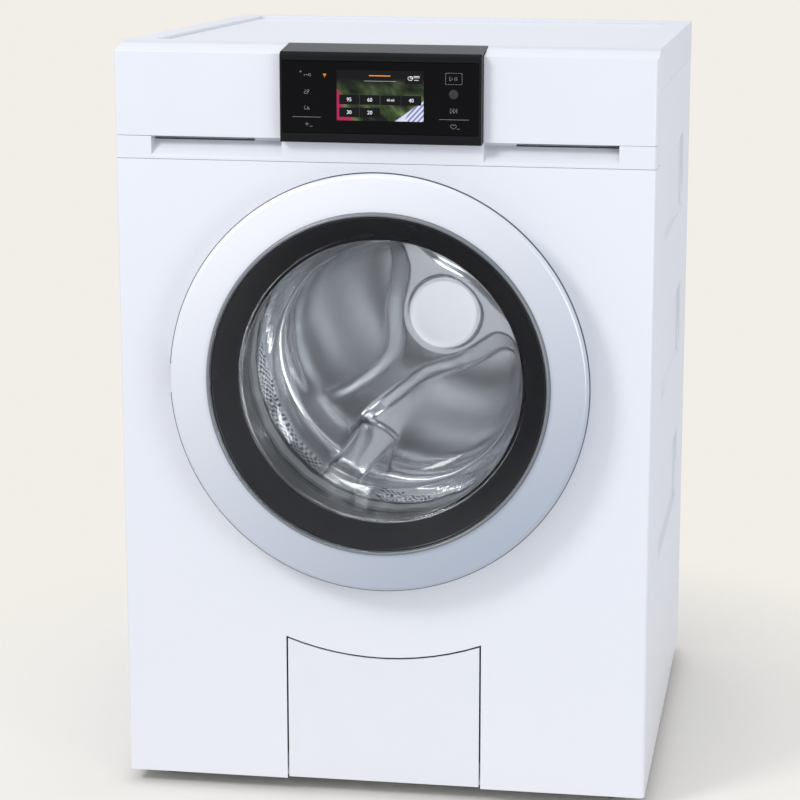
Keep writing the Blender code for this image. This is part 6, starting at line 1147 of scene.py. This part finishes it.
def makeSprings():
    s = sprung
    steel = metalFinish("springSteel", (0.50, 0.51, 0.53), 0.3, 400)
    count = s["turns"] * s["stepsInTurn"]
    for side, word in ((-1, "left"), (1, "right")):
        x, depth = side * s["springX"], s["springDepth"]
        points = []
        for i in range(count + 1):
            angle = 2 * math.pi * i / s["stepsInTurn"]
            points.append((x + s["coil"] * math.cos(angle), depth + s["coil"] * math.sin(angle),
                           s["springLow"] + (s["springHigh"] - s["springLow"]) * i / count))
        spring = tube(word + "Spring", points, s["wire"], 2)
        stand(spring, None, "suspension_spring_" + word, finish=steel)
        depthY(depth)
        depthY(depth)
        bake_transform(spring)


def makeHoses():
    s = sprung
    route = smoothLine([(s["sumpX"], depth, z) for depth, z in s["sumpRoute"]], 14)
    sump = tube("ribbedSumpHose", route, s["sumpRadius"], 3, s["ribs"])
    stand(sump, None, "sump_hose")
    depthY(0.1700)
    depthY(0.2400)
    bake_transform(sump)
    x, depth, low, high = s["fillHose"]
    line = [(x, depth, low + (high - low) * i / s["fillSteps"]) for i in range(s["fillSteps"] + 1)]
    fill = tube("ribbedFillHose", line, s["fillRadius"], 5, s["ribs"])
    stand(fill, None, "dispenser_hose")
    depthY(depth)
    depthY(depth)
    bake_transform(fill)


# screws of the rear sheet and its cover: places as x, z and depth of the seat
rearScrews = {
    "head": 0.0042, "rise": 0.0022, "edge": 0.0012, "slotLong": 0.0034, "slotWide": 0.0008, "slotDeep": 0.0018,
    "cover": [(x, z, 0.5924) for x in (-0.1945, 0.1945) for z in (0.247, 0.382, 0.518, 0.653)]
             + [(0.0, 0.2455, 0.5924), (0.0, 0.6545, 0.5924)],
    "sheet": [(x, z, 0.5914) for x in (-0.2860, 0.2860) for z in (0.075, 0.250, 0.430, 0.610)],
}


def makeScrews():
    # one pan head with a crossed slot, modelled once and copied
    s = rearScrews
    deselect()
    bpy.ops.mesh.primitive_cylinder_add(vertices=20, radius=s["head"], depth=s["rise"], rotation=facing)
    first = newPiece("screw")
    bpy.ops.object.mode_set(mode="EDIT")
    shape = bmesh.from_edit_mesh(first.data)
    for edge in shape.edges:
        edge.select_set(all(v.co.y > s["rise"] * 0.4 for v in edge.verts))
    bmesh.update_edit_mesh(first.data)
    bpy.ops.mesh.bevel(offset=s["edge"], segments=2)
    bpy.ops.object.mode_set(mode="OBJECT")
    for long, wide in ((s["slotLong"], s["slotWide"]), (s["slotWide"], s["slotLong"])):
        bpy.ops.mesh.primitive_cube_add(size=1, location=(0, s["rise"] / 2, 0), scale=(long, s["slotDeep"], wide))
        cutAway(first, newPiece("slot"))
    copies = []
    for x, z, seat in s["cover"] + s["sheet"]:
        copy = first.copy()
        copy.data = first.data.copy()
        copy.location = (x, depthY(seat + s["rise"] / 2), z)
        bpy.context.collection.objects.link(copy)
        copies.append(copy)
    bpy.data.objects.remove(first)
    screws = join("rearScrews", copies)
    finishPiece(screws, 30)
    stand(screws, "cabinet", finish=metalFinish("screwSteel", (0.42, 0.43, 0.44), 0.35, 500), slot="steel")


makeSprings()
makeHoses()
makeScrews()
print("springs, hoses and screws")
